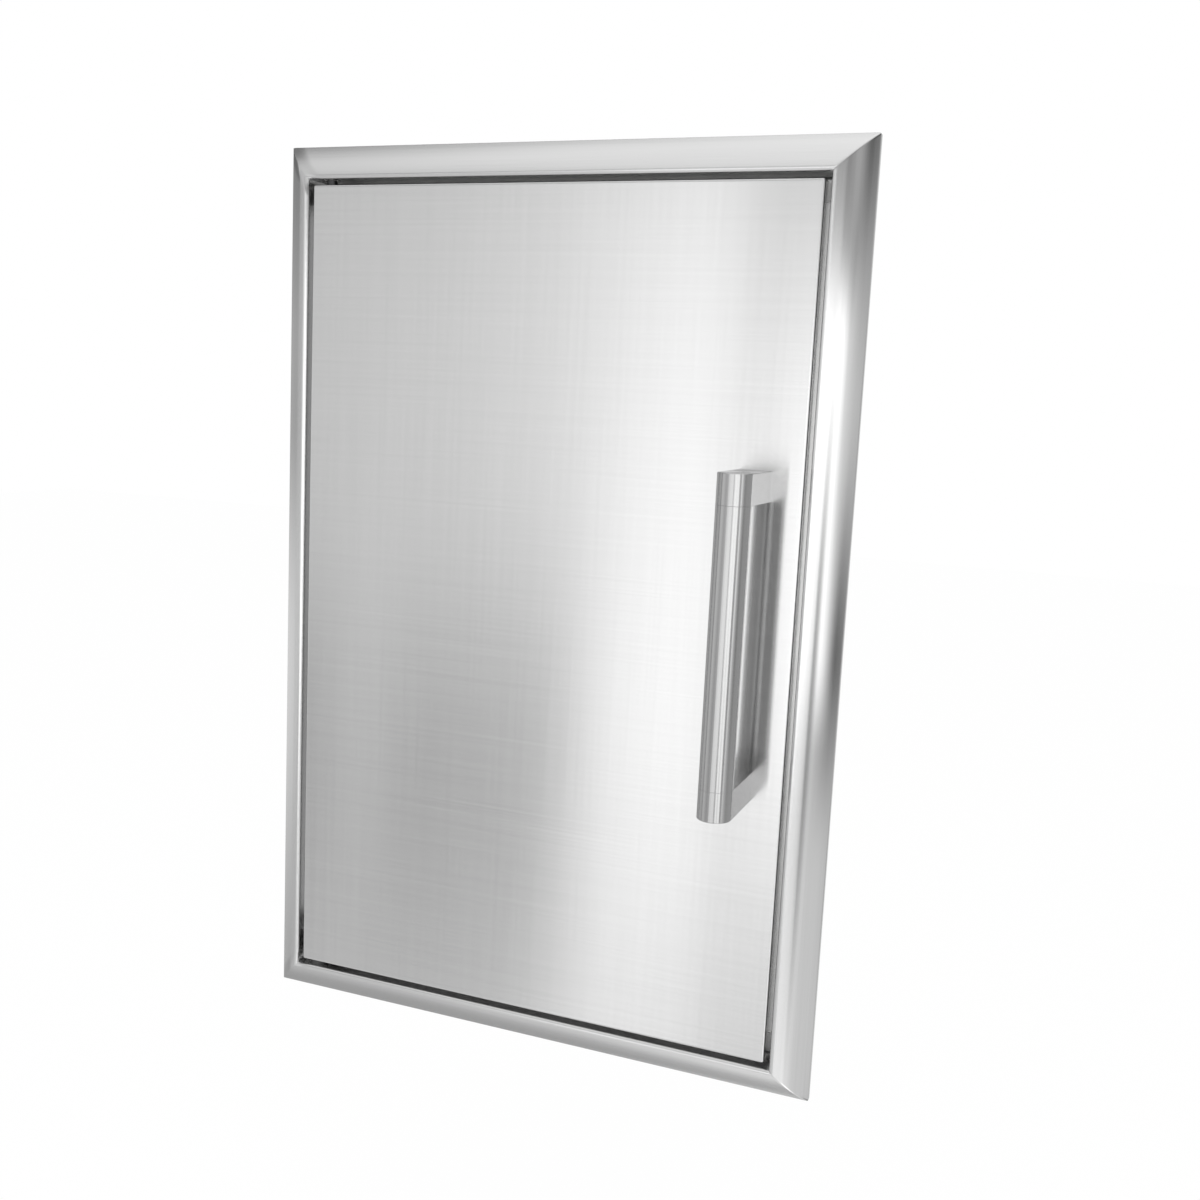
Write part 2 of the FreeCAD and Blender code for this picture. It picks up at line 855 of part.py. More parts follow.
def outer_skin():
    """The door's front pan: a flat face with its four sides folded back."""
    body = new_body("door_outer_skin", y=door_back)
    outline = new_sketch(body, "outline", "XZ_Plane")
    draw_rectangle(outline, door_x, door_z)
    pad(body, outline, "door_block", size.door_thickness)
    front = -size.door_thickness.number
    dress_edges(
        body,
        "Fillet",
        "folds",
        size.skin_fold_radius,
        lambda e: edge_lies_at(e, "y", front) or abs(e.tangentAt(e.FirstParameter).y) > 0.99,
    )
    hollow = new_sketch(body, "hollow_outline", "XZ_Plane")
    draw_outline(
        hollow,
        rounded_corners(
            door_x - size.skin_sheet,
            door_z - size.skin_sheet,
            size.skin_fold_radius - size.fold_inside_radius,
        ),
    )
    pocket(
        body, hollow, "hollow", length=size.door_thickness - size.skin_sheet, backwards=True
    )
    floor = (size.skin_sheet - size.door_thickness).number
    dress_edges(
        body,
        "Fillet",
        "inner_folds",
        size.fold_inside_radius,
        lambda e: edge_lies_at(e, "y", floor),
    )
    handle_holes(body, size.handle_screw_diameter / 2 + size.screw_clearance, backwards=True)
    pivots = new_sketch(body, "pivot_places", "XY_Plane")
    draw_circle(pivots, pivot_x, pivot_y - door_back, pin_radius + size.skin_hole_clearance)
    pocket(body, pivots, "pivot_holes", symmetric=True)
    keep(body)


def handle_holes(body, radius, backwards):
    """Two holes in line with the handle's ends, right through the body."""
    places = new_sketch(body, "handle_hole_places", "XZ_Plane")
    for side in (-1, 1):
        draw_circle(places, bar_x, side * size.handle_centres / 2, radius)
    pocket(body, places, "handle_holes", backwards=backwards)


def inner_liner():
    """The tray that closes the back of the door, inside the pan's folded sides."""
    body = new_body("door_inner_liner", y=door_back)
    half_x = door_x - size.skin_sheet - size.liner_clearance
    half_z = door_z - size.skin_sheet - size.liner_clearance
    radius = size.skin_fold_radius - size.fold_inside_radius
    outline = new_sketch(body, "outline", "XZ_Plane")
    draw_outline(outline, rounded_corners(half_x, half_z, radius))
    pad(body, outline, "tray_block", size.liner_flange)
    dress_edges(
        body,
        "Fillet",
        "folds",
        size.liner_fold_radius,
        lambda e: edge_lies_at(e, "y", 0),
    )
    hollow = new_sketch(body, "hollow_outline", "XZ_Plane", offset=size.liner_flange)
    draw_rectangle(hollow, half_x - size.liner_sheet, half_z - size.liner_sheet)
    pocket(body, hollow, "hollow", length=size.liner_flange - size.liner_sheet)
    handle_holes(body, size.plug_hole_diameter / 2, backwards=True)
    slot = new_sketch(body, "tab_slot", "XZ_Plane")
    half_slot = size.tab_shaft_diameter / 2 + size.tab_slot_margin
    draw_outline(
        slot,
        [
            (pivot_x - half_slot, tab_z, half_slot, -1),
            (pivot_x, tab_z + half_slot, half_slot, -1),
            (pivot_x + half_slot, tab_z),
            (pivot_x + half_slot, tab_z - size.pin_travel, half_slot, -1),
            (pivot_x, tab_z - size.pin_travel - half_slot, half_slot, -1),
            (pivot_x - half_slot, tab_z - size.pin_travel),
        ],
    )
    pocket(body, slot, "tab_slot_cut", backwards=True)
    rivet_places = new_sketch(body, "rivet_places", "XZ_Plane")
    for side in (-1, 1):
        draw_circle(rivet_places, catch_x, side * size.rivet_spacing / 2, rivet_hole)
    pocket(body, rivet_places, "rivet_holes", backwards=True)
    keep(body)


rivet_hole = derive("rivet_hole", size.rivet_diameter / 2 + size.screw_clearance)


def strike_plate():
    """The steel plate that the magnet holds, riveted to the back of the door."""
    body = new_body("strike_plate", x=catch_x, y=door_back)
    outline = new_sketch(body, "outline", "XZ_Plane")
    draw_outline(
        outline,
        rounded_corners(
            size.strike_width / 2, size.strike_height / 2, size.strike_corner_radius
        ),
    )
    for side in (-1, 1):
        draw_circle(outline, zero, side * size.rivet_spacing / 2, rivet_hole)
    pad(body, outline, "plate", size.strike_sheet, backwards=True)
    keep(body)


def strike_rivets():
    """Two rivets through the strike plate and the liner, upset behind the liner."""
    body = new_body("strike_rivet_upper", x=catch_x, y=door_back, z=size.rivet_spacing / 2)
    shank = size.rivet_diameter / 2
    head = size.rivet_head_diameter / 2
    seat = size.strike_sheet
    inside = -size.liner_sheet
    upset = inside - size.rivet_head_height
    section = new_sketch(body, "section", "XY_Plane")
    draw_outline(
        section,
        [
            (zero, upset),
            (zero, seat + size.rivet_head_height),
            (head / 2, seat + size.rivet_head_height),
            (head, seat),
            (shank, seat),
            (shank, inside),
            (head, inside),
            (head / 2, upset),
        ],
    )
    revolve(body, section, "rivet")
    keep_pair(body, "strike_rivets")


def build_door_panels():
    outer_skin()
    inner_liner()
    strike_plate()
    strike_rivets()


# Handle


def handle_bar():
    body = new_body("handle_bar", x=bar_x, y=bar_y)
    ring = new_sketch(body, "ring", "XY_Plane")
    draw_circle(ring, zero, zero, bar_radius)
    draw_circle(ring, zero, zero, bar_radius - size.bar_wall)
    pad(body, ring, "tube", 2 * bar_half_length, symmetric=True)
    outer = bar_radius.number
    dress_edges(
        body,
        "Chamfer",
        "seam_edges",
        size.seam_chamfer,
        lambda e: abs(e.Length - 2 * math.pi * outer) < 0.01
        and abs(e.tangentAt(e.FirstParameter).z) < 0.01,
    )
    keep(body)


def handle_end(label, z, turn):
    """An end block: half round in front, with flat sides that run back to the door, a spigot in
    the tube and a tapped hole in its foot."""
    body = new_body(label, x=bar_x, y=bar_y, z=z, turn_about_y=turn)
    foot = size.bar_standoff
    outline = new_sketch(body, "outline", "XY_Plane")
    draw_outline(
        outline,
        [
            (-bar_radius, zero, bar_radius, 1),
            (zero, -bar_radius, bar_radius, 1),
            (bar_radius, zero),
            (bar_radius, foot),
            (-bar_radius, foot),
        ],
    )
    pad(body, outline, "block", size.handle_end_height)
    top = size.handle_end_height.number
    back = foot.number
    for name, level, amount in (
        ("end_edges", top, size.handle_end_chamfer),
        ("seam_edges", 0, size.seam_chamfer),
    ):
        dress_edges(
            body,
            "Chamfer",
            name,
            amount,
            lambda e, level=level: edge_lies_at(e, "z", level)
            and not edge_lies_at(e, "y", back),
        )
    spigot = new_sketch(body, "spigot_outline", "XY_Plane")
    draw_circle(
        spigot, zero, zero, bar_radius - size.bar_wall - size.spigot_clearance
    )
    pad(body, spigot, "spigot", size.spigot_length, backwards=True)
    screw = new_sketch(body, "screw_place", "XZ_Plane", offset=-foot)
    draw_circle(
        screw,
        zero,
        size.handle_end_height / 2,
        size.handle_screw_diameter / 2 + size.screw_clearance,
    )
    pocket(
        body,
        screw,
        "tapped_hole",
        length=size.handle_screw_reach + size.seam_chamfer,
        backwards=True,
    )
    keep(body)


def backing_plate():
    """A strip inside the front pan that spreads the pull of the handle's screws."""
    body = new_body("handle_backing_plate", y=door_front + size.skin_sheet)
    outline = new_sketch(body, "outline", "XZ_Plane")
    draw_rectangle(
        outline,
        size.backing_width / 2,
        size.handle_centres / 2 + size.backing_margin,
        centre_x=bar_x,
    )
    pad(body, outline, "strip", size.backing_sheet, backwards=True)
    handle_holes(body, size.handle_screw_diameter / 2 + size.screw_clearance, backwards=False)
    keep(body)


def handle_screws():
    body = new_body("handle_screw_upper", x=bar_x, z=size.handle_centres / 2)
    seat = door_front + size.skin_sheet + size.backing_sheet
    pan_screw(
        body,
        seat,
        door_front - size.handle_screw_reach,
        size.handle_screw_diameter / 2,
        size.screw_head_diameter / 2,
        size.screw_head_height,
        size.screw_head_chamfer,
    )
    keep_pair(body, "handle_screws")


def hole_plugs():
    """Two push-in caps over the screwdriver holes in the liner."""
    body = new_body("liner_hole_plug_upper", x=bar_x, y=door_back, z=size.handle_centres / 2)
    stem = size.plug_hole_diameter / 2 - size.plug_clearance
    rim = size.plug_hole_diameter / 2 + size.plug_rim_width
    deep = -size.plug_stem_length
    wall = size.liner_sheet
    section = new_sketch(body, "section", "XY_Plane")
    draw_outline(
        section,
        [
            (zero, -wall),
            (zero, size.plug_rim_height),
            (rim - size.plug_rim_chamfer, size.plug_rim_height),
            (rim, size.plug_rim_height - size.plug_rim_chamfer),
            (rim, zero),
            (stem, zero),
            (stem, deep),
            (stem - wall, deep),
            (stem - wall, -wall),
        ],
    )
    revolve(body, section, "cap")
    keep_pair(body, "liner_hole_plugs")


def build_handle():
    handle_bar()
    handle_end("handle_end_upper", bar_half_length, 0)
    handle_end("handle_end_lower", -bar_half_length, 180)
    backing_plate()
    handle_screws()
    hole_plugs()


# Pins inside the door

wall_inside = derive("wall_inside", door_z - size.skin_sheet)
collar_top = derive("collar_top", wall_inside - size.bracket_sheet - size.collar_clearance)
upper_leg = derive("upper_leg", wall_inside - size.upper_bracket_height)
tab_z = derive("tab_z", upper_leg - size.tab_drop)


def pin_bracket(label, height, z, turn):
    """A channel behind the front pan. Both of its legs guide the pin. Its own origin is on the
    pin's axis, at the inner face of the door's top or bottom wall."""
    body = new_body(label, x=pivot_x, y=pivot_y, z=z, turn_about_y=turn)
    sheet = size.bracket_sheet
    outer = size.bracket_fold_radius
    inner = outer - sheet
    web = size.skin_sheet - size.pivot_depth
    back = size.bracket_back
    left, right = 1, -1
    section = new_sketch(body, "section", "YZ_Plane")
    draw_outline(
        section,
        [
            (back, zero),
            (web + outer, zero, outer, left),
            (web, -outer),
            (web, outer - height, outer, left),
            (web + outer, -height),
            (back, -height),
            (back, sheet - height),
            (web + outer, sheet - height, inner, right),
            (web + sheet, outer - height),
            (web + sheet, -outer, inner, right),
            (web + outer, -sheet),
            (back, -sheet),
        ],
    )
    pad(body, section, "channel", size.bracket_width, symmetric=True)
    hole = new_sketch(body, "pin_place", "XY_Plane")
    draw_circle(hole, zero, zero, pin_radius + size.pin_clearance)
    pocket(body, hole, "pin_holes", symmetric=True)
    keep(body)


def upper_pin():
    """The sprung pin, with a chamfered tip and a cross hole for its finger tab."""
    body = new_body("upper_pivot_pin", x=pivot_x, y=pivot_y)
    tip = opening_z + size.pin_reach
    tail = tab_z - size.pin_tail
    chamfer = size.pin_tip_chamfer
    section = new_sketch(body, "section", "XZ_Plane")
    draw_outline(
        section,
        [
            (zero, tail),
            (pin_radius - chamfer / 2, tail),
            (pin_radius, tail + chamfer / 2),
            (pin_radius, tip - chamfer),
            (pin_radius - chamfer, tip),
            (zero, tip),
        ],
    )
    revolve(body, section, "turned_pin")
    hole = new_sketch(body, "tab_place", "XZ_Plane")
    draw_circle(hole, zero, tab_z, size.tab_shaft_diameter / 2 + size.pin_clearance)
    pocket(body, hole, "tab_hole", symmetric=True)
    keep(body)


def ring_on_pin(label, z, radius, height):
    body = new_body(label, x=pivot_x, y=pivot_y, z=z)
    ring = new_sketch(body, "ring", "XY_Plane")
    draw_circle(ring, zero, zero, radius)
    draw_circle(ring, zero, zero, pin_radius + size.pin_clearance)
    pad(body, ring, "collar", height)
    keep(body)


def pin_tab():
    """The finger tab: a stud through the pin, with a round head behind the liner."""
    body = new_body("upper_pin_tab", x=pivot_x, y=pivot_y, z=tab_z)
    shaft = size.tab_shaft_diameter / 2
    head = size.tab_head_diameter / 2
    seat = door_back + size.tab_standoff - pivot_y
    top = seat + size.tab_head_height
    chamfer = size.tab_head_chamfer
    section = new_sketch(body, "section", "XY_Plane")
    draw_outline(
        section,
        [
            (zero, -pin_radius - size.tab_shaft_end),
            (zero, top),
            (head - chamfer, top),
            (head, top - chamfer),
            (head, seat + chamfer),
            (head - chamfer, seat),
            (shaft, seat),
            (shaft, -pin_radius - size.tab_shaft_end),
        ],
    )
    revolve(body, section, "turned_tab")
    keep(body)


def half_of_arc(start, heading, end):
    """The middle point of the arc that leaves start along heading and ends at end."""
    chord = end - start
    across = heading - chord * (heading.dot(chord) / chord.Length**2)
    if across.Length < 1e-9:
        return (start + end) / 2
    angle = heading.getAngle(chord)
    return (start + end) / 2 + across.normalize() * (chord.Length / 2 * math.tan(angle / 2))


def joined_arcs(points, headings):
    """Pairs of arcs that pass through the points along the headings, with no kink."""
    edges = []
    for here, there, leave, arrive in zip(points, points[1:], headings, headings[1:]):
        chord = there - here
        spread = 2 * (1 - leave.dot(arrive))
        push = chord.dot(leave + arrive)
        reach = (math.sqrt(push**2 + spread * chord.dot(chord)) - push) / spread
        middle = (here + there + (leave - arrive) * reach) / 2
        onward = (there - here - (leave + arrive) * reach).normalize()
        for start, heading, end in ((here, leave, middle), (middle, onward, there)):
            edges.append(Part.Arc(start, half_of_arc(start, heading, end), end).toShape())
    return edges


def least_gap(path, turns, wire):
    """The least gap of a coil to itself, measured between points half a turn or more apart."""
    per_turn = 24
    points = path.discretize(Number=round(turns * per_turn) + 1)
    nearest = min(
        (later - point).Length
        for index, point in enumerate(points)
        for later in points[index + per_turn // 2 : index + 2 * per_turn]
    )
    return nearest - wire


def pin_spring():
    """The coil spring on the pin, between the bracket's lower leg and the collar: a round wire
    along quarter turns of arcs. It prints the least gap between its turns."""
    wire = size.spring_wire.number
    radius = size.spring_mean_diameter.number / 2
    low = upper_leg.number + size.bracket_sheet.number + wire / 2
    high = collar_top.number - size.collar_height.number - wire / 2
    turns = size.spring_turns.number
    quarters = max(4, round(4 * turns))
    pitch = (high - low) / (quarters / 4)
    points, headings = [], []
    for step in range(quarters + 1):
        angle = math.pi / 2 * step
        points.append(
            Vector(radius * math.cos(angle), radius * math.sin(angle), low + pitch * step / 4)
        )
        rise = pitch / (2 * math.pi)
        heading = Vector(-radius * math.sin(angle), radius * math.cos(angle), rise)
        headings.append(heading.normalize())
    path = Part.Wire(joined_arcs(points, headings))
    section = Part.Wire(Part.Circle(points[0], headings[0], wire / 2).toShape())
    print(f"spring: least gap between turns {least_gap(path, turns, wire):.2f} mm")
    spring = document.addObject("Part::Feature", "upper_pin_spring")
    spring.Shape = path.makePipeShell([section], True, False)
    spring.Placement.Base = Vector(pivot_x.number, pivot_y.number, 0)
    keep(spring, "upper_pin_spring")


def lower_pin():
    """The fixed pin under the door, with a flange that sits on its bracket."""
    body = new_body("lower_pivot_pin", x=pivot_x, y=pivot_y)
    tip = -opening_z - size.pin_reach
    seat = -wall_inside + size.bracket_sheet
    tail = -wall_inside + size.lower_bracket_height + size.lower_pin_tail
    flange = size.lower_flange_diameter / 2
    chamfer = size.pin_tip_chamfer
    section = new_sketch(body, "section", "XZ_Plane")
    draw_outline(
        section,
        [
            (zero, tip),
            (pin_radius - chamfer, tip),
            (pin_radius, tip + chamfer),
            (pin_radius, seat),
            (flange, seat),
            (flange, seat + size.lower_flange_height),
            (pin_radius, seat + size.lower_flange_height),
            (pin_radius, tail),
            (zero, tail),
        ],
    )
    revolve(body, section, "turned_pin")
    keep(body)


def build_pins():
    pin_bracket("upper_pin_bracket", size.upper_bracket_height, wall_inside, 0)
    pin_bracket("lower_pin_bracket", size.lower_bracket_height, -wall_inside, 180)
    upper_pin()
    ring_on_pin(
        "upper_pin_collar",
        collar_top - size.collar_height,
        size.collar_diameter / 2,
        size.collar_height,
    )
    pin_tab()
    pin_spring()
    lower_pin()


def check_and_write():
    """Stops on a failed object or a bad shape, then writes each sub-part to its own file."""
    document.recompute()
    for thing in document.Objects:
        if "Invalid" in thing.State or "Error" in thing.State:
            raise RuntimeError(f"{thing.Label} failed: {thing.State}")
    for thing in sub_parts:
        if thing.Shape.isNull() or not thing.Shape.isValid():
            raise RuntimeError(f"{thing.Label} has no valid shape")
    os.makedirs("parts", exist_ok=True)
    for thing in sub_parts:
        thing.Shape.exportStep(os.path.join("parts", f"{thing.Label}.step"))
        print(thing.Label, len(thing.Shape.Solids), round(thing.Shape.Volume, 1))


build_trim()
build_frame_pivots()
build_stops()
build_door_panels()
build_handle()
build_pins()
check_and_write()
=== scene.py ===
"""Access door for the side of an outdoor kitchen island, dressed for its pictures.

A mitred trim frame of brushed stainless steel holds an inset pan door that turns on two pins and
is pulled open by a round bar handle. Lengths are in metres: x runs to the right, y into the wall
and z up, from the centre of the trim on the plane of the wall.
"""

import logging
import math
from dataclasses import dataclass, replace
from enum import Enum
from typing import Iterable, Mapping, Optional, Sequence, Union

import bmesh
import bpy
from mathutils import Matrix, Vector

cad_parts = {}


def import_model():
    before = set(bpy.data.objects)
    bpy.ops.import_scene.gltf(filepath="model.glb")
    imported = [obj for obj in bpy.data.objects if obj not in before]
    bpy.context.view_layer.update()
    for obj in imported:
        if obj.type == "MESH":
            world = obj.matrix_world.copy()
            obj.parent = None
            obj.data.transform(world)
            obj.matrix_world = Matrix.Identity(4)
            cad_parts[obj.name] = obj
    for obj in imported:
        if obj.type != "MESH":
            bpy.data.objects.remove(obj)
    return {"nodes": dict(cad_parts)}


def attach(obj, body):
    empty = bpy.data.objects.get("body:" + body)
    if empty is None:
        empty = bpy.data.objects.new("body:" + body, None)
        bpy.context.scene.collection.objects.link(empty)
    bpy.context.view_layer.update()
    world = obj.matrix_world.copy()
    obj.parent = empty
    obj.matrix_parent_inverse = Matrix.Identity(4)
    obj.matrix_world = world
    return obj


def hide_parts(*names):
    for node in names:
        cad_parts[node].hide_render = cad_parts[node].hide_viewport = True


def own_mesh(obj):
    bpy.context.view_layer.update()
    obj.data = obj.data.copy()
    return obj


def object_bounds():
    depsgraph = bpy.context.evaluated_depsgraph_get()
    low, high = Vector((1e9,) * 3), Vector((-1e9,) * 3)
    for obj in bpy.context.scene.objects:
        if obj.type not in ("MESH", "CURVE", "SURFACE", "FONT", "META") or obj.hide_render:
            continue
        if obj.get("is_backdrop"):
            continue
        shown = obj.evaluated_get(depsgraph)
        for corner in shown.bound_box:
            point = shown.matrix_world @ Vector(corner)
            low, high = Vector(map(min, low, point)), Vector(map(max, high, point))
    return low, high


log = logging.getLogger("access_door")

Point = tuple[float, float]
Span = tuple[float, float]
Triple = tuple[float, float, float]
Colour = tuple[float, float, float]
Settings = Mapping[str, object]
Sockets = Mapping[Union[str, int], object]
Material = bpy.types.Material
Piece = bpy.types.Object
Shape = bmesh.types.BMesh

DIAGONAL = math.sqrt(0.5)
QUARTER_TURN = math.radians(90)
# Faces that meet at more than this angle keep a sharp edge between them.
SHARP_EDGE = math.radians(28)
# Points that are nearer than this are one.
SAME_PLACE = 1e-7
# How far a drill goes to each side of a sheet.
DRILL_REACH = 0.004
# The x and y of the line that the door turns about.
PIVOT: Point = (-0.1656, -0.0122)
# Where the handle stands, and the screws that hold it to the door.
HANDLE_X = 0.1445
HANDLE_SCREW_RADIUS = 0.00305
HANDLE_SCREW_SPACING = 0.1896
WHITE = (1.0, 1.0, 1.0, 1.0)


class Signal:
    """A value on its way through a finish's nodes. Sums with it add Math nodes."""

    def __init__(self, bench: "NodeBench", socket: bpy.types.NodeSocket) -> None:
        """Wraps an output socket of one of the bench's nodes."""
        self.bench = bench
        self.socket = socket

    def __add__(self, other: "Value") -> "Signal":
        """Sum of two values."""
        return self.bench.sum("ADD", self, other)

    def __radd__(self, other: "Value") -> "Signal":
        """Sum of two values."""
        return self.bench.sum("ADD", other, self)

    def __sub__(self, other: "Value") -> "Signal":
        """Difference of two values."""
        return self.bench.sum("SUBTRACT", self, other)

    def __rsub__(self, other: "Value") -> "Signal":
        """Difference of two values."""
        return self.bench.sum("SUBTRACT", other, self)

    def __mul__(self, other: "Value") -> "Signal":
        """Product of two values."""
        return self.bench.sum("MULTIPLY", self, other)

    def __rmul__(self, other: "Value") -> "Signal":
        """Product of two values."""
        return self.bench.sum("MULTIPLY", other, self)

    def __truediv__(self, other: "Value") -> "Signal":
        """Quotient of two values."""
        return self.bench.sum("DIVIDE", self, other)

    def __rtruediv__(self, other: "Value") -> "Signal":
        """Quotient of two values."""
        return self.bench.sum("DIVIDE", other, self)

    def __neg__(self) -> "Signal":
        """The value with its sign turned."""
        return self.bench.sum("MULTIPLY", self, -1.0)


Value = Union[Signal, float]


class NodeBench:
    """The nodes of one material or of the world, added one at a time."""

    def __init__(self, tree: bpy.types.NodeTree) -> None:
        """Starts with an empty tree."""
        self.tree = tree
        tree.nodes.clear()

    def add(self, kind: str, settings: Settings, inputs: Sockets) -> bpy.types.Node:
        """Adds a node.

        Args:
            kind: the node's type.
            settings: its own properties, set first.
            inputs: its sockets by name or number, each with a Signal to link or a plain value.

        Returns:
            The node.
        """
        node = self.tree.nodes.new(kind)
        for name, value in settings.items():
            setattr(node, name, value)
        for name, value in inputs.items():
            socket = self._input(node, name)
            if isinstance(value, Signal):
                self.tree.links.new(value.socket, socket)
            else:
                socket.default_value = value
        return node

    def _input(self, node: bpy.types.Node, name: Union[str, int]) -> bpy.types.NodeSocket:
        """The input with that number, or the one in use with that name."""
        named = (s for s in node.inputs if s.enabled and s.name == name)
        return node.inputs[name] if isinstance(name, int) else next(named)

    def out(self, node: bpy.types.Node, name: Optional[str] = None) -> Signal:
        """An output of a node, the first in use where no name is given."""
        found = (s for s in node.outputs if s.enabled and name in (None, s.name))
        return Signal(self, next(found))

    def take(
        self, kind: str, settings: Settings, inputs: Sockets, name: Optional[str] = None
    ) -> Signal:
        """Adds a node and takes one of its outputs."""
        return self.out(self.add(kind, settings, inputs), name)

    def sum(self, operation: str, *values: Value) -> Signal:
        """Adds a Math node and takes its result."""
        return self.take("ShaderNodeMath", {"operation": operation}, dict(enumerate(values)))

    def ease(self, value: Value, start: float, end: float) -> Signal:
        """Goes softly from 0 to 1 while the value goes from start to end."""
        inputs = {"Value": value, "From Min": start, "From Max": end}
        return self.take("ShaderNodeMapRange", {"interpolation_type": "SMOOTHSTEP"}, inputs)

    def within(self, value: Value, low: float, high: float, soft: float) -> Signal:
        """1 while the value is between low and high, with a soft edge at both."""
        rise = self.ease(value, low - soft, low + soft)
        return rise * (1 - self.ease(value, high - soft, high + soft))

    def place(self, axes: str = "Object") -> Signal:
        """The point that is looked at, in the piece's own axes or in others by name."""
        return self.take("ShaderNodeTexCoord", {}, {}, axes)

    def split(self, vector: Signal) -> tuple[Signal, ...]:
        """The x, y and z of a vector."""
        parts = self.add("ShaderNodeSeparateXYZ", {}, {0: vector})
        return tuple(self.out(parts, name) for name in "XYZ")

    def noise(
        self, place: Signal, widths: Sequence[float], detail: float = 2.0, roughness: float = 0.5
    ) -> Signal:
        """Soft noise.

        Args:
            place: the point on the piece.
            widths: how wide its features are along each axis.
            detail: how many finer layers it has.
            roughness: how much of these there is.

        Returns:
            The noise, from 0 to 1.
        """
        factors = tuple(1 / width for width in widths)
        scaled = self.take("ShaderNodeVectorMath", {"operation": "MULTIPLY"}, {0: place, 1: factors})
        inputs = {"Vector": scaled, "Scale": 1.0, "Detail": detail, "Roughness": roughness}
        return self.take("ShaderNodeTexNoise", {}, inputs, "Fac")

    def mixed(self, share: Value, first: Colour, second: Colour) -> Signal:
        """Mixes two colours."""
        inputs = {"Factor": share, "A": (*first, 1.0), "B": (*second, 1.0)}
        return self.take("ShaderNodeMix", {"data_type": "RGBA"}, inputs)

    def shaded(self, share: Value, shade: Colour, spread: float) -> Signal:
        """A colour that goes from darker to lighter, by that spread, as share goes from 0 to 1."""
        ends = [tuple(min(1.0, c * k) for c in shade) for k in (1 - spread, 1 + spread)]
        return self.mixed(share, *ends)

    def bump(self, height: Value) -> Signal:
        """The normal of a relief, with its height in metres."""
        return self.take("ShaderNodeBump", {}, {"Height": height, "Distance": 1.0})

    def shader(self, inputs: Sockets) -> Signal:
        """A surface with these sockets."""
        return self.take("ShaderNodeBsdfPrincipled", {}, inputs)

    def layered(self, share: Value, first: Signal, second: Signal) -> Signal:
        """Two surfaces in one: where share is 1, all is the second."""
        return self.take("ShaderNodeMixShader", {}, {0: share, 1: first, 2: second})

    def end(self, surface: Signal, kind: str = "ShaderNodeOutputMaterial") -> None:
        """Ends the tree with its output."""
        self.add(kind, {}, {"Surface": surface})


def new_material(name: str) -> tuple[Material, NodeBench]:
    """Makes a material.

    Args:
        name: its name.

    Returns:
        The material, and the bench for its nodes.
    """
    material = bpy.data.materials.new(name)
    material.use_nodes = True
    return material, NodeBench(material.node_tree)


class Grain(Enum):
    """Which way the lines of the abrasive belt run, in the piece's own axes."""

    ALONG_X = (True, False, False)
    ALONG_Z = (False, False, True)
    AROUND_Z = (True, True, False)


@dataclass(frozen=True)
class BeltLines:
    """One size of line that a belt leaves in the steel.

    Depth is its relief, tint what it adds to the colour and gloss what it adds to the roughness.
    """

    width: float
    length: float
    depth: float
    tint: float
    gloss: float


@dataclass(frozen=True)
class Polish:
    """How a belt-finished face throws a highlight: its roughness, and how far it draws it out."""

    roughness: float
    spread: float


@dataclass(frozen=True)
class Mitre:
    """How a corner's weld is ground: the ridge softens over this width at each end of a member.

    The near end is the one at the member's own low z.
    """

    length: float
    near: float
    far: float
    slope: float = 0.45

    def relief(self, bench: NodeBench, place: Signal) -> Signal:
        """Height that rounds both ridges.

        Args:
            bench: the material's nodes.
            place: the point on the member, in its own axes.

        Returns:
            The height in metres, zero away from the corners.
        """
        across, _, along = bench.split(place)
        height: Value = 0.0
        for end, width in ((-along, self.near), (along, self.far)):
            gap = (self.length / 2 - end - across) * DIAGONAL
            left_over = bench.sum("MAXIMUM", 1 - gap / width, 0.0)
            height = height - left_over * left_over * (self.slope * width / 2)
        return height


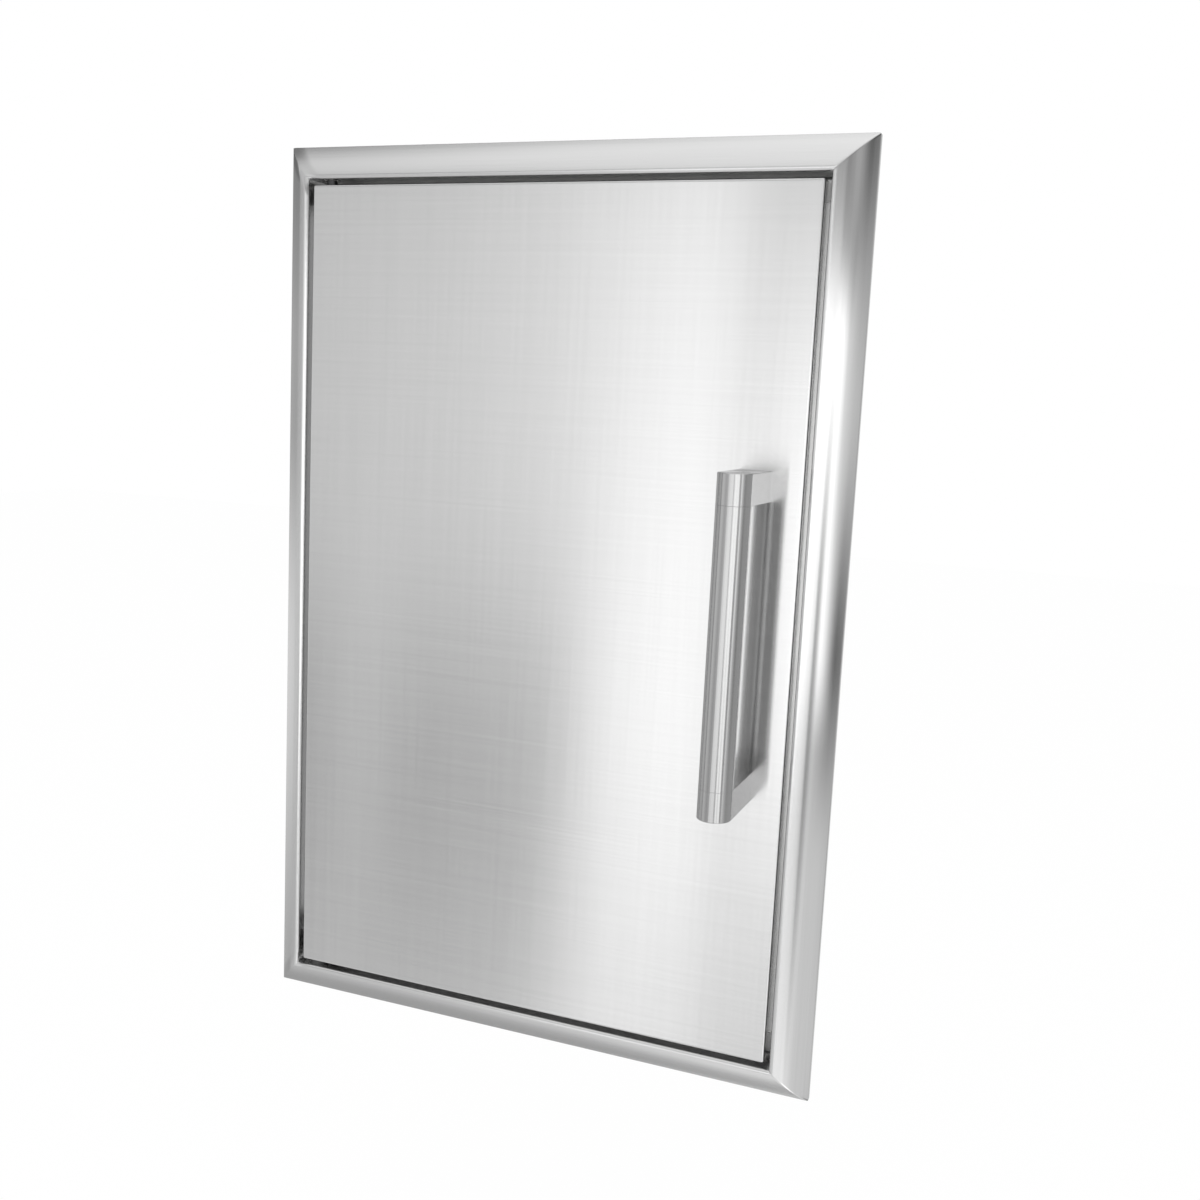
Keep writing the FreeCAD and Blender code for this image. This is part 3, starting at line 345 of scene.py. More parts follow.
@dataclass(frozen=True)
class BrushedSteel:
    """Stainless sheet or bar, finished with an abrasive belt.

    The lands between the belt's lines shine more than the lines, so two polishes are mixed. Bands
    are the faint marks across the grain that the belt's joint leaves at each turn.
    """

    name: str
    grain: Grain
    lands: Polish
    grooves: Polish
    share_of_lands: float
    shade: Colour = (0.735, 0.735, 0.735)
    shade_spread: float = 0.2
    turned: bool = False
    lines: tuple[BeltLines, ...] = (
        BeltLines(0.0006, 0.12, 0.5e-6, 0.09, 0.020),
        BeltLines(0.0022, 0.30, 0.8e-6, 0.05, 0.015),
        BeltLines(0.0080, 0.90, 1.2e-6, 0.025, 0.010),
    )
    bands: tuple[BeltLines, ...] = ()
    contrast: float = 2.5
    cloud_width: float = 0.07
    cloud_tint: float = 0.05
    cloud_gloss: float = 0.02
    wave_width: float = 0.16
    wave_height: float = 0.0
    sleeve_from: Optional[float] = None
    sleeve_edge: float = 0.0015
    sleeve_gloss: float = 0.12

    def belt(self, bench: NodeBench, place: Signal) -> tuple[Value, Value, Value]:
        """The marks that the belt leaves.

        Args:
            bench: the material's nodes.
            place: the point on the piece, in its own axes.

        Returns:
            What they add to the colour, to the roughness and to the relief.
        """
        crosswise = [not along for along in self.grain.value]
        runs = [(lines, self.grain.value) for lines in self.lines]
        runs += [(lines, crosswise) for lines in self.bands]
        tint: Value = 0.0
        gloss: Value = 0.0
        relief: Value = 0.0
        for lines, way in runs:
            widths = [lines.length if along else lines.width for along in way]
            streak = bench.noise(place, widths, roughness=0.6) - 0.5
            tint = streak * lines.tint + tint
            gloss = streak * lines.gloss + gloss
            relief = streak * lines.depth + relief
        return tint, gloss, relief

    def with_sleeve(self, bench: NodeBench, place: Signal, roughness: Signal) -> Signal:
        """The roughness, down to the mill's own gloss on the sleeve that the belt never meets.

        Args:
            bench: the material's nodes.
            place: the point on the piece, in its own axes.
            roughness: the roughness that the belt leaves.

        Returns:
            The roughness of both.
        """
        _, depth, _ = bench.split(place)
        inside = bench.ease(depth, self.sleeve_from, self.sleeve_from + self.sleeve_edge)
        return roughness + (self.sleeve_gloss - roughness) * inside

    def material(self, mitre: Optional[Mitre] = None) -> Material:
        """The finish as a material.

        Args:
            mitre: the ground corners of a mitred member.

        Returns:
            A metal whose lines change its colour, gloss and relief.
        """
        material, bench = new_material(self.name)
        place = bench.place()
        tint, gloss, relief = self.belt(bench, place)
        cloud = bench.noise(place, [self.cloud_width] * 3) - 0.5
        if self.wave_height:
            wave = bench.noise(place, [self.wave_width] * 3, detail=1.0, roughness=0.4)
            relief = wave * self.wave_height + relief
        if mitre:
            relief = mitre.relief(bench, place) + relief
        bump = bench.bump(relief)
        share = 0.5 + tint * self.contrast + cloud * self.cloud_tint
        colour = bench.shaded(share, self.shade, self.shade_spread)
        sides = []
        for polish in (self.grooves, self.lands):
            roughness = polish.roughness + gloss + cloud * self.cloud_gloss
            if self.sleeve_from is not None:
                roughness = self.with_sleeve(bench, place, roughness)
            metal = {
                "Base Color": colour,
                "Metallic": 1.0,
                "Roughness": roughness,
                "Anisotropic": polish.spread,
                "Anisotropic Rotation": 0.25 if self.turned else 0.0,
                "Normal": bump,
            }
            sides.append(bench.shader(metal))
        bench.end(bench.layered(self.share_of_lands, *sides))
        return material


@dataclass(frozen=True)
class PlainMetal:
    """Rolled, turned or plated metal with no belt lines: a fine mottle and small scuffs."""

    name: str
    shade: Colour
    roughness: float
    mottle_width: float = 0.0012
    mottle: float = 0.12
    mottle_tint: float = 3.0
    scuff_width: float = 0.006
    scuff_tint: float = 2.0
    relief: float = 2.0e-6
    shade_spread: float = 0.18

    def material(self) -> Material:
        """The finish as a material.

        Returns:
            A metal whose mottle changes its colour and relief, and whose scuffs its gloss.
        """
        material, bench = new_material(self.name)
        place = bench.place()
        mottle = bench.noise(place, [self.mottle_width] * 3, detail=3.0, roughness=0.6)
        scuff = bench.noise(place, [self.scuff_width] * 3, detail=3.0, roughness=0.65) - 0.5
        share = 0.5 + (mottle - 0.5) * (self.mottle * self.mottle_tint)
        share = share + scuff * (self.mottle * self.scuff_tint)
        metal = {
            "Base Color": bench.shaded(share, self.shade, self.shade_spread),
            "Metallic": 1.0,
            "Roughness": self.roughness + scuff * self.mottle,
            "Normal": bench.bump(mottle * self.relief),
        }
        bench.end(bench.shader(metal))
        return material


@dataclass(frozen=True)
class Moulding:
    """A moulded or pressed part: nylon, rubber, plastic or ferrite."""

    name: str
    shade: Colour
    roughness: float
    pore_width: float
    pore_depth: float
    blotch: float = 0.15
    blotch_tint: float = 4.0
    blotch_width: float = 0.008
    pore_tint: float = 2.0
    pore_gloss: float = 0.2
    shade_spread: float = 0.25

    def material(self) -> Material:
        """The finish as a material.

        Returns:
            A plain surface with pores and wide, faint blotches.
        """
        material, bench = new_material(self.name)
        place = bench.place()
        pores = bench.noise(place, [self.pore_width] * 3, detail=3.0, roughness=0.6)
        blotch = bench.noise(place, [self.blotch_width] * 3) - 0.5
        share = 0.5 + blotch * (self.blotch * self.blotch_tint)
        share = share + (pores - 0.5) * (self.blotch * self.pore_tint)
        surface = {
            "Base Color": bench.shaded(share, self.shade, self.shade_spread),
            "Roughness": self.roughness + (pores - 0.5) * self.pore_gloss,
            "Normal": bench.bump(pores * self.pore_depth),
        }
        bench.end(bench.shader(surface))
        return material


class Turn(Enum):
    """Which way an arc of an outline bends."""

    LEFT = 1
    RIGHT = -1


class Outline:
    """A closed outline drawn side by side, as a folder draws a sheet's section."""

    ARC_STEP = math.radians(5)
    FEWEST_STEPS = 4
    SUPPORT = 0.00012

    def __init__(self, x: float, y: float) -> None:
        """Starts at a corner."""
        self.points: list[Point] = [(x, y)]

    def line(self, x: float, y: float) -> None:
        """Adds a straight side, with a point close to each end that keeps its shading flat.

        Args:
            x: its end.
            y: its end.
        """
        start = Vector(self.points[-1])
        end = Vector((x, y))
        along = end - start
        if along.length > 4 * self.SUPPORT:
            step = along.normalized() * self.SUPPORT
            self.points += [tuple(start + step), tuple(end - step)]
        self.points.append((x, y))

    def arc(self, x: float, y: float, radius: float, turn: Turn) -> None:
        """Adds an arc under a half circle.

        Args:
            x: its end.
            y: its end.
            radius: its radius.
            turn: which way it bends.
        """
        start = Vector(self.points[-1])
        end = Vector((x, y))
        chord = end - start
        rise = math.sqrt(max(radius**2 - chord.length_squared / 4, 0.0))
        left = Vector((-chord.y, chord.x)).normalized()
        centre = (start + end) / 2 + left * rise * turn.value
        first = math.atan2(start.y - centre.y, start.x - centre.x)
        swing = 2 * math.asin(min(1.0, chord.length / 2 / radius)) * turn.value
        steps = max(self.FEWEST_STEPS, math.ceil(abs(swing) / self.ARC_STEP))
        for step in range(1, steps):
            angle = first + swing * step / steps
            self.points.append(
                (centre.x + radius * math.cos(angle), centre.y + radius * math.sin(angle))
            )
        self.points.append((x, y))

    def closed(self) -> list[Point]:
        """Ends the outline.

        Returns:
            Its points, each once.
        """
        points = [self.points[0]]
        for point in self.points[1:]:
            if (Vector(point) - Vector(points[-1])).length > SAME_PLACE:
                points.append(point)
        if (Vector(points[0]) - Vector(points[-1])).length < SAME_PLACE:
            points.pop()
        return points


def full_circle(steps: int) -> list[float]:
    """Angles all the way round, in equal steps."""
    return [2 * math.pi * step / steps for step in range(steps)]


def join_rings(shape: Shape, rings: Sequence[Sequence[bmesh.types.BMVert]]) -> None:
    """Skins neighbouring rings.

    Args:
        shape: the shape that the faces go to.
        rings: its points, in rings of the same count.
    """
    for lower, upper in zip(rings, rings[1:]):
        for here in range(len(lower)):
            there = (here + 1) % len(lower)
            shape.faces.new((lower[here], lower[there], upper[there], upper[here]))


def skinned(rings: Iterable[Iterable[Sequence[float]]]) -> Shape:
    """Skins rings of points, and closes the first and the last with a flat face.

    Args:
        rings: rings of points, all with the same count.

    Returns:
        A closed shape.
    """
    shape = bmesh.new()
    joined = [[shape.verts.new(point) for point in ring] for ring in rings]
    join_rings(shape, joined)
    shape.faces.new(list(reversed(joined[0])))
    shape.faces.new(joined[-1])
    return shape


def prism(outline: Sequence[Point], low: float, high: float) -> Shape:
    """A block with the outline as its section, from low to high along z."""
    return skinned([(x, y, z) for x, y in outline] for z in (low, high))


def cylinder(radius: float, low: float, high: float, steps: int = 64) -> Shape:
    """A round block along z."""
    outline = [(radius * math.cos(a), radius * math.sin(a)) for a in full_circle(steps)]
    return prism(outline, low, high)


def turned(section: Sequence[Point], steps: int = 160) -> Shape:
    """A part turned about z.

    Args:
        section: its closed section, as points of radius and z.
        steps: how many sides it has all round.

    Returns:
        A closed shape.
    """
    shape = bmesh.new()
    rings = []
    for a in full_circle(steps):
        rings.append([shape.verts.new((r * math.cos(a), r * math.sin(a), z)) for r, z in section])
    join_rings(shape, [*rings, rings[0]])
    return shape


def moved(shape: Shape, matrix: Matrix) -> Shape:
    """The same shape, carried by a matrix."""
    bmesh.ops.transform(shape, matrix=matrix, verts=shape.verts)
    return shape


class Bore(Enum):
    """Which way a hole runs: the turn that lays a block along it."""

    ALONG_X = Matrix.Rotation(QUARTER_TURN, 4, "Y")
    ALONG_Y = Matrix.Rotation(QUARTER_TURN, 4, "X")
    ALONG_Z = Matrix.Identity(4)


def drill(
    radius: float,
    place: Sequence[float],
    way: Bore,
    reach: float = DRILL_REACH,
    steps: int = 48,
) -> Shape:
    """The round block that cuts a hole.

    Args:
        radius: the hole's radius.
        place: a point on its middle line.
        way: which way it runs.
        reach: how far the block goes to each side of the place.
        steps: how many sides it has all round.

    Returns:
        The block.
    """
    block = moved(cylinder(radius, -reach, reach, steps), way.value)
    return moved(block, Matrix.Translation(place))


def as_object(shape: Shape, name: str) -> Piece:
    """Makes an object of a shape, with its faces turned outwards.

    Args:
        shape: the shape, used up by this.
        name: the object's name.

    Returns:
        The object.
    """
    bmesh.ops.recalc_face_normals(shape, faces=shape.faces)
    mesh = bpy.data.meshes.new(name)
    shape.to_mesh(mesh)
    shape.free()
    thing = bpy.data.objects.new(name, mesh)
    bpy.context.scene.collection.objects.link(thing)
    return thing


def apply_modifiers(thing: Piece) -> None:
    """Keeps what an object's modifiers make, and removes them.

    Args:
        thing: the object.
    """
    graph = bpy.context.evaluated_depsgraph_get()
    made = bpy.data.meshes.new_from_object(thing.evaluated_get(graph))
    old = thing.data
    thing.modifiers.clear()
    thing.data = made
    made.name = thing.name
    bpy.data.meshes.remove(old)


def cut(thing: Piece, tools: Iterable[Shape]) -> Piece:
    """Takes the tools' shapes out of an object.

    Args:
        thing: the object.
        tools: closed shapes in the object's own axes.

    Returns:
        The object.
    """
    for number, tool in enumerate(tools):
        cutter = as_object(tool, f"{thing.name}_cut_{number}")
        cutter.matrix_world = thing.matrix_world
        modifier = thing.modifiers.new("cut", "BOOLEAN")
        modifier.operation = "DIFFERENCE"
        modifier.solver = "EXACT"
        modifier.object = cutter
        bpy.context.view_layer.update()
        apply_modifiers(thing)
        bpy.data.objects.remove(cutter)
    return thing


def dress(thing: Piece, material: Material) -> None:
    """Gives every slot of an object one material.

    Args:
        thing: the object.
        material: its finish.
    """
    if not thing.data.materials:
        thing.data.materials.append(material)
    for slot in thing.material_slots:
        slot.link = "OBJECT"
        slot.material = material


def seat(thing: Piece, material: Material, body: str, node: str) -> None:
    """Finishes a new piece: its shading, its finish, and the part of the frame it stands for.

    Args:
        thing: the piece, already in place.
        material: its finish.
        body: the body that it moves with.
        node: the CAD node that it replaces.
    """
    mesh = thing.data
    mesh.polygons.foreach_set("use_smooth", [True] * len(mesh.polygons))
    mesh.set_sharp_from_angle(angle=SHARP_EDGE)
    mesh.update()
    dress(thing, material)
    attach(thing, body)
    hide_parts(node)
    log.info("%s: %d faces on %s", thing.name, len(mesh.polygons), body)


class Side(Enum):
    """The four members of the trim."""

    LEFT = ("left_stile", 0, (0.008, 0.008))
    TOP = ("top_rail", 90, (0.008, 0.001))
    RIGHT = ("right_stile", 180, (0.001, 0.0008))
    BOTTOM = ("bottom_rail", -90, (0.0008, 0.008))

    def __init__(self, word: str, turn: float, ridges: Span) -> None:
        """Says what a member's values are.

        Args:
            word: its name.
            turn: its turn about y, in degrees.
            ridges: the width of the ground ridge at its own low and high end.
        """
        self.word = word
        self.turn = turn
        self.ridges = ridges

    @property
    def upright(self) -> bool:
        """True for a stile."""
        return self in (Side.LEFT, Side.RIGHT)


@dataclass
class TrimFrame:
    """Four members folded from one sheet profile and mitred at the corners."""

    width: float = 0.4064
    height: float = 0.6096
    sheet: float = 0.0012
    corner_radius: float = 0.002
    lip_width: float = 0.008
    fold_inside: float = 0.0004
    edge_flat: float = 0.0009
    shoulder_inside: float = 0.0018
    bevel_radius: float = 0.050
    nose_inside: float = 0.001
    nose_height: float = 0.0214
    inset: float = 0.0242
    depth: float = 0.044
    sleeve_fold: float = 0.0008
    rear_return: float = 0.008
    hole_diameter: float = 0.005
    hole_depth: float = 0.028
    upright_hole_spacing: float = 0.380
    level_hole_spacing: float = 0.220
    bush_radius: float = 0.00505
    bush_steps: int = 64
    pivot: Point = PIVOT
    overcut: float = 0.01
    overcut_front: float = -0.04
    overcut_back: float = 0.06
    finish: BrushedSteel = BrushedSteel(
        "brushed_trim",
        Grain.ALONG_Z,
        lands=Polish(0.211, 0.89),
        grooves=Polish(0.263, 0.93),
        share_of_lands=0.3,
        sleeve_from=-0.0192,
    )

    def mitre(self, side: Side) -> Mitre:
        """How the welds at both ends of a member are ground."""
        return Mitre(self.height if side.upright else self.width, *side.ridges)

    def bevel_ends(self) -> list[Point]:
        """Where the long bevel touches the shoulder and the nose.

        Returns:
            Points (distance from the outer edge, depth): on the outer face at the shoulder and
            at the nose, and on the inner face at the nose and at the shoulder.
        """
        shoulder_radius = self.shoulder_inside + self.sheet
        nose_radius = self.nose_inside + self.sheet
        fold = self.fold_inside + self.sheet
        shoulder = Vector((shoulder_radius, -fold - self.edge_flat))
        nose = Vector((self.inset - nose_radius, nose_radius - self.nose_height))
        to_shoulder = self.bevel_radius - shoulder_radius
        to_nose = self.bevel_radius - nose_radius
        run = nose - shoulder
        span = run.length
        along = (to_shoulder**2 - to_nose**2 + span**2) / (2 * span)
        aside = math.sqrt(to_shoulder**2 - along**2)
        unit = run / span
        centre = shoulder + unit * along + Vector((-unit.y, unit.x)) * aside
        inner = self.bevel_radius - self.sheet
        places = []
        for small, reach, radius in (
            (shoulder, to_shoulder, self.bevel_radius),
            (nose, to_nose, self.bevel_radius),
            (nose, to_nose, inner),
            (shoulder, to_shoulder, inner),
        ):
            places.append(tuple(centre + (small - centre) * (radius / reach)))
        return places

    def profile(self) -> list[Point]:
        """The folded sheet's section.

        Returns:
            Points: x goes from the outer edge to the opening, y into the wall.
        """
        sheet = self.sheet
        fold = self.fold_inside + sheet
        shoulder_radius = self.shoulder_inside + sheet
        nose_radius = self.nose_inside + sheet
        edge = fold + self.edge_flat
        nose_y = nose_radius - self.nose_height
        shoulder_out, nose_out, nose_in, shoulder_in = self.bevel_ends()
        turn_y = self.depth - sheet - self.sleeve_fold
        outer_turn = self.sleeve_fold + sheet
        outline = Outline(self.lip_width, 0.0)
        outline.line(fold, 0.0)
        outline.arc(0.0, -fold, fold, Turn.LEFT)
        outline.line(0.0, -edge)
        outline.arc(*shoulder_out, shoulder_radius, Turn.LEFT)
        outline.arc(*nose_out, self.bevel_radius, Turn.LEFT)
        outline.arc(self.inset, nose_y, nose_radius, Turn.LEFT)
        outline.line(self.inset, turn_y)
        outline.arc(self.inset + self.sleeve_fold, self.depth - sheet, self.sleeve_fold, Turn.RIGHT)
        outline.line(self.inset + self.rear_return, self.depth - sheet)
        outline.line(self.inset + self.rear_return, self.depth)
        outline.line(self.inset + self.sleeve_fold, self.depth)
        outline.arc(self.inset - sheet, turn_y, outer_turn, Turn.LEFT)
        outline.line(self.inset - sheet, nose_y)
        outline.arc(*nose_in, self.nose_inside, Turn.RIGHT)
        outline.arc(*shoulder_in, self.bevel_radius - sheet, Turn.RIGHT)
        outline.arc(sheet, -edge, self.shoulder_inside, Turn.RIGHT)
        outline.line(sheet, -fold)
        outline.arc(fold, -sheet, self.fold_inside, Turn.RIGHT)
        outline.line(self.lip_width, -sheet)
        outline.line(self.lip_width, 0.0)
        return outline.closed()

    def mitre_tools(self, length: float) -> list[Shape]:
        """The blocks that cut both ends at 45 degrees and round the outer corner.

        Args:
            length: the member's length.

        Returns:
            A block for each end.
        """
        tip = length / 2
        radius = self.corner_radius
        rounded = radius * (1 - DIAGONAL)
        reach = self.inset + self.rear_return + self.lip_width
        outline = Outline(tip - radius, -self.overcut)
        outline.line(tip - radius, 0.0)
        outline.arc(tip - rounded, rounded, radius, Turn.LEFT)
        outline.line(tip - reach, reach)
        outline.line(tip + self.overcut, reach)
        outline.line(tip + self.overcut, -self.overcut)
        outline.line(tip - radius, -self.overcut)
        tools = []
        for side in (1, -1):
            block = prism(outline.closed(), self.overcut_front, self.overcut_back)
            # The block's x goes along the member, its y across it and its z into the wall.
            lay = Matrix(((0, 1, 0, 0), (0, 0, 1, 0), (side, 0, 0, 0), (0, 0, 0, 1)))
            tools.append(moved(block, lay))
        return tools

    def hole_tools(self, side: Side) -> list[Shape]:
        """The drills for the screw holes in the sleeve, and for the pin's bush.

        Args:
            side: the member.

        Returns:
            The drills, in the member's own axes.
        """
        spacing = self.upright_hole_spacing if side.upright else self.level_hole_spacing
        tools = []
        for end in (-1, 1):
            screw = (self.inset, self.hole_depth, end * spacing / 2)
            tools.append(drill(self.hole_diameter / 2, screw, Bore.ALONG_X))
        if not side.upright:
            x, y = self.pivot
            bush = (self.inset, y, x if side is Side.TOP else -x)
            tools.append(drill(self.bush_radius, bush, Bore.ALONG_X, steps=self.bush_steps))
        return tools

    def member(self, side: Side) -> Piece:
        """One member, in place.

        Args:
            side: which one.

        Returns:
            The member. Its own z runs along it and its own x points at the opening.
        """
        length = self.height if side.upright else self.width
        reach = self.width / 2 if side.upright else self.height / 2
        shape = prism(self.profile(), -length / 2, length / 2)
        thing = as_object(shape, side.word)
        turn = Matrix.Rotation(math.radians(side.turn), 4, "Y")
        outwards = turn @ Vector((-reach, 0, 0))
        thing.matrix_world = Matrix.Translation(outwards) @ turn
        return cut(thing, [*self.mitre_tools(length), *self.hole_tools(side)])

    def build(self) -> None:
        """Makes the four members."""
        rail_finish = replace(self.finish, sleeve_from=None)
        for side in Side:
            finish = self.finish if side.upright else rail_finish
            material = finish.material(self.mitre(side))
            seat(self.member(side), material, "frame", f"frame_{side.word}")


@dataclass
class DoorPanel:
    """The front pan: a flat face with its four sides folded back."""

    half_width: float = 0.1753
    half_height: float = 0.2769
    front: float = -0.0206
    thickness: float = 0.018
    sheet: float = 0.0012
    fold_radius: float = 0.0016
    fold_steps: int = 10
    rim: float = 0.002
    support: float = 0.0003
    pivot: Point = PIVOT
    pivot_hole_radius: float = 0.0040
    handle_x: float = HANDLE_X
    screw_radius: float = HANDLE_SCREW_RADIUS
    screw_spacing: float = HANDLE_SCREW_SPACING
    finish: BrushedSteel = BrushedSteel(
        "brushed_door",
        Grain.ALONG_X,
        lands=Polish(0.141, 0.933),
        grooves=Polish(0.221, 0.99),
        share_of_lands=0.6,
        turned=True,
        bands=(
            BeltLines(0.003, 0.16, 0.4e-6, 0.07, 0.010),
            BeltLines(0.011, 0.50, 0.0, 0.03, 0.0),
        ),
        wave_height=0.00009,
    )

    def ring(self, half_x: float, half_z: float, out: float, y: float) -> list[Vector]:
        """A rectangle at one depth, pushed out all round, with its corners rounded.

        Args:
            half_x: half its width before that.
            half_z: half its height before that.
            out: how far it is pushed out.
            y: its depth.

        Returns:
            Its points.
        """
        points = []
        for corner, (x, z) in enumerate(((1, 1), (-1, 1), (-1, -1), (1, -1))):
            for step in range(self.fold_steps + 1):
                angle = QUARTER_TURN * (corner + step / self.fold_steps)
                across = x * half_x + out * math.cos(angle)
                points.append(Vector((across, y, z * half_z + out * math.sin(angle))))
        return points

    def shell(self, inwards: float) -> list[list[Vector]]:
        """One face of the sheet, from the middle of the front to the rear rim.

        Args:
            inwards: how far the face lies inside the pan's outer face.

        Returns:
            Rings of points, all with the same count.
        """
        radius = self.fold_radius - inwards
        half_x = self.half_width - inwards - radius
        half_z = self.half_height - inwards - radius
        front = self.front + inwards
        rings = [self.ring(half_x - d, half_z - d, 0.0, front) for d in (self.rim, self.support)]
        for step in range(self.fold_steps + 1):
            angle = QUARTER_TURN * step / self.fold_steps
            y = front + radius * (1 - math.cos(angle))
            rings.append(self.ring(half_x, half_z, radius * math.sin(angle), y))
        for y in (front + radius + self.support, self.front + self.thickness):
            rings.append(self.ring(half_x, half_z, radius, y))
        return rings

    def pan(self) -> Piece:
        """The folded pan with its holes.

        Returns:
            The pan, in place.
        """
        shape = skinned([*self.shell(0.0), *reversed(self.shell(self.sheet))])
        bmesh.ops.remove_doubles(shape, verts=shape.verts, dist=SAME_PLACE)
        tools = []
        for end in (-1, 1):
            screw = (self.handle_x, self.front, end * self.screw_spacing / 2)
            pin = (*self.pivot, end * self.half_height)
            tools.append(drill(self.screw_radius, screw, Bore.ALONG_Y))
            tools.append(drill(self.pivot_hole_radius, pin, Bore.ALONG_Z))
        return cut(as_object(shape, "door_front_pan"), tools)

    def build(self) -> None:
        """Makes the pan."""
        seat(self.pan(), self.finish.material(), "door", "door_outer_skin")


@dataclass
class BarHandle:
    """A round tube between two end blocks that stand on the door."""

    x: float = HANDLE_X
    y: float = -0.0650
    radius: float = 0.0106
    wall: float = 0.0015
    half_length: float = 0.0853
    end_height: float = 0.019
    standoff: float = 0.0444
    seam: float = 0.00012
    chamfer: float = 0.0004
    support: float = 0.0002
    front_steps: int = 64
    spigot_length: float = 0.009
    clearance: float = 0.00005
    screw_radius: float = HANDLE_SCREW_RADIUS
    screw_reach: float = 0.02025
    finish: BrushedSteel = BrushedSteel(
        "brushed_handle",
        Grain.AROUND_Z,
        lands=Polish(0.19, 0.90),
        grooves=Polish(0.24, 0.92),
        share_of_lands=0.6,
        # The bar is the same steel as the door, but its shade is set darker: painted shade for the
        # darker light that the bar mirrors.
        shade=(0.51, 0.51, 0.51),
        turned=True,
        lines=(
            BeltLines(0.00035, 0.020, 0.8e-6, 0.05, 0.05),
            BeltLines(0.0012, 0.060, 1.0e-6, 0.03, 0.03),
            BeltLines(0.0050, 0.200, 1.0e-6, 0.02, 0.02),
        ),
    )

    def tube(self) -> Piece:
        """The bar: a tube with a small chamfer at each seam.

        Returns:
            The tube, in place.
        """
        half = self.half_length
        inside = self.radius - self.wall
        section = [
            (inside, -half),
            (self.radius - self.seam, -half),
            (self.radius, self.seam - half),
            (self.radius, self.seam + self.support - half),
            (self.radius, half - self.seam - self.support),
            (self.radius, half - self.seam),
            (self.radius - self.seam, half),
            (inside, half),
        ]
        thing = as_object(turned(section), "handle_tube")
        thing.location = (self.x, self.y, 0)
        return thing

    def end_outline(self, inset: float) -> list[Point]:
        """An end block's section: half round in front, flat sides back to the foot.

        Args:
            inset: how far it lies inside the block's widest section.

        Returns:
            Its points, round the handle's middle line.
        """
        reach = self.radius - inset
        steps = self.front_steps
        angles = [math.pi + math.pi * step / steps for step in range(steps + 1)]
        points = [(reach * math.cos(a), reach * math.sin(a)) for a in angles]
        points += [(reach, self.support), (reach, self.standoff)]
        points += [(-reach, self.standoff), (-reach, self.support)]
        return points

    def end_block(self, side: int) -> Piece:
        """One end block with its spigot and tapped hole.

        Args:
            side: 1 for the one above the tube, -1 for the one below.

        Returns:
            The block, in place.
        """
        levels = (
            (0.0, self.seam),
            (self.seam, 0.0),
            (self.seam + self.support, 0.0),
            (self.end_height - self.chamfer - self.support, 0.0),
            (self.end_height - self.chamfer, 0.0),
            (self.end_height, self.chamfer),
        )
        shape = skinned([(x, y, z) for x, y in self.end_outline(inset)] for z, inset in levels)
        thing = as_object(shape, "handle_end_block")
        screw = (0, self.standoff, self.end_height / 2)
        cut(thing, [drill(self.screw_radius, screw, Bore.ALONG_Y, self.screw_reach)])
        spigot = cylinder(self.radius - self.wall - self.clearance, -self.spigot_length, 0.0)
        spigot.from_mesh(thing.data)
        spigot.to_mesh(thing.data)
        spigot.free()
        turn = 0 if side > 0 else 180
        rest = Matrix.Translation((self.x, self.y, side * self.half_length))
        thing.matrix_world = rest @ Matrix.Rotation(math.radians(turn), 4, "Y")
        return thing

    def build(self) -> None:
        """Makes the tube and both ends."""
        material = self.finish.material()
        seat(self.tube(), material, "door", "handle_bar")
        for side, word in ((1, "upper"), (-1, "lower")):
            block = self.end_block(side)
            block.name = f"handle_block_{word}"
            seat(block, material, "door", f"handle_end_{word}")


@dataclass
class SideStop:
    """The angle strip behind the door's free edge, bright enough to light up the gap."""

    wall: float = 0.1790
    front: float = 0.0024
    sheet: float = 0.0012
    foot: float = 0.012
    leg: float = 0.020
    half_height: float = 0.2661
    corner: float = 0.0003
    window_place: float = 0.1671
    window_half_width: float = 0.0050
    window_half_height: float = 0.0192
    catch_screw_height: float = 0.0235
    catch_screw_radius: float = 0.0015
    bumper_place: float = 0.1685
    bumper_height: float = 0.2366
    bumper_radius: float = 0.0020
    hole_steps: int = 32
    finish: PlainMetal = PlainMetal("bright_strip", (0.72, 0.72, 0.715), 0.12, 0.0009, 0.03)

    def section(self) -> list[Point]:
        """The angle, with its foot on the sleeve and its leg towards the door's middle.

        Returns:
            The points of its section.
        """
        back = self.front + self.sheet
        outline = Outline(self.wall, self.front + self.foot)
        outline.line(self.wall, self.front + self.corner)
        outline.arc(self.wall - self.corner, self.front, self.corner, Turn.RIGHT)
        outline.line(self.wall - self.leg, self.front)
        outline.line(self.wall - self.leg, back)
        outline.line(self.wall - self.sheet, back)
        outline.line(self.wall - self.sheet, self.front + self.foot)
        outline.line(self.wall, self.front + self.foot)
        return outline.closed()

    def window(self) -> Shape:
        """The block that cuts the catch's window.

        Returns:
            The block, in place.
        """
        half = self.window_half_width
        left, right = self.window_place - half, self.window_place + half
        near, far = self.front - self.sheet, self.front + 2 * self.sheet
        outline = [(left, near), (right, near), (right, far), (left, far)]
        return prism(outline, -self.window_half_height, self.window_half_height)

    def build(self) -> None:
        """Makes the strip, with its window and its four holes."""
        thing = as_object(prism(self.section(), -self.half_height, self.half_height), "side_stop")
        tools = [self.window()]
        for place, height, radius in (
            (self.window_place, self.catch_screw_height, self.catch_screw_radius),
            (self.bumper_place, self.bumper_height, self.bumper_radius),
        ):
            for end in (-1, 1):
                centre = (place, self.front, end * height)
                tools.append(drill(radius, centre, Bore.ALONG_Y, steps=self.hole_steps))
        cut(thing, tools)
        seat(thing, self.finish.material(), "frame", "door_stop_right")


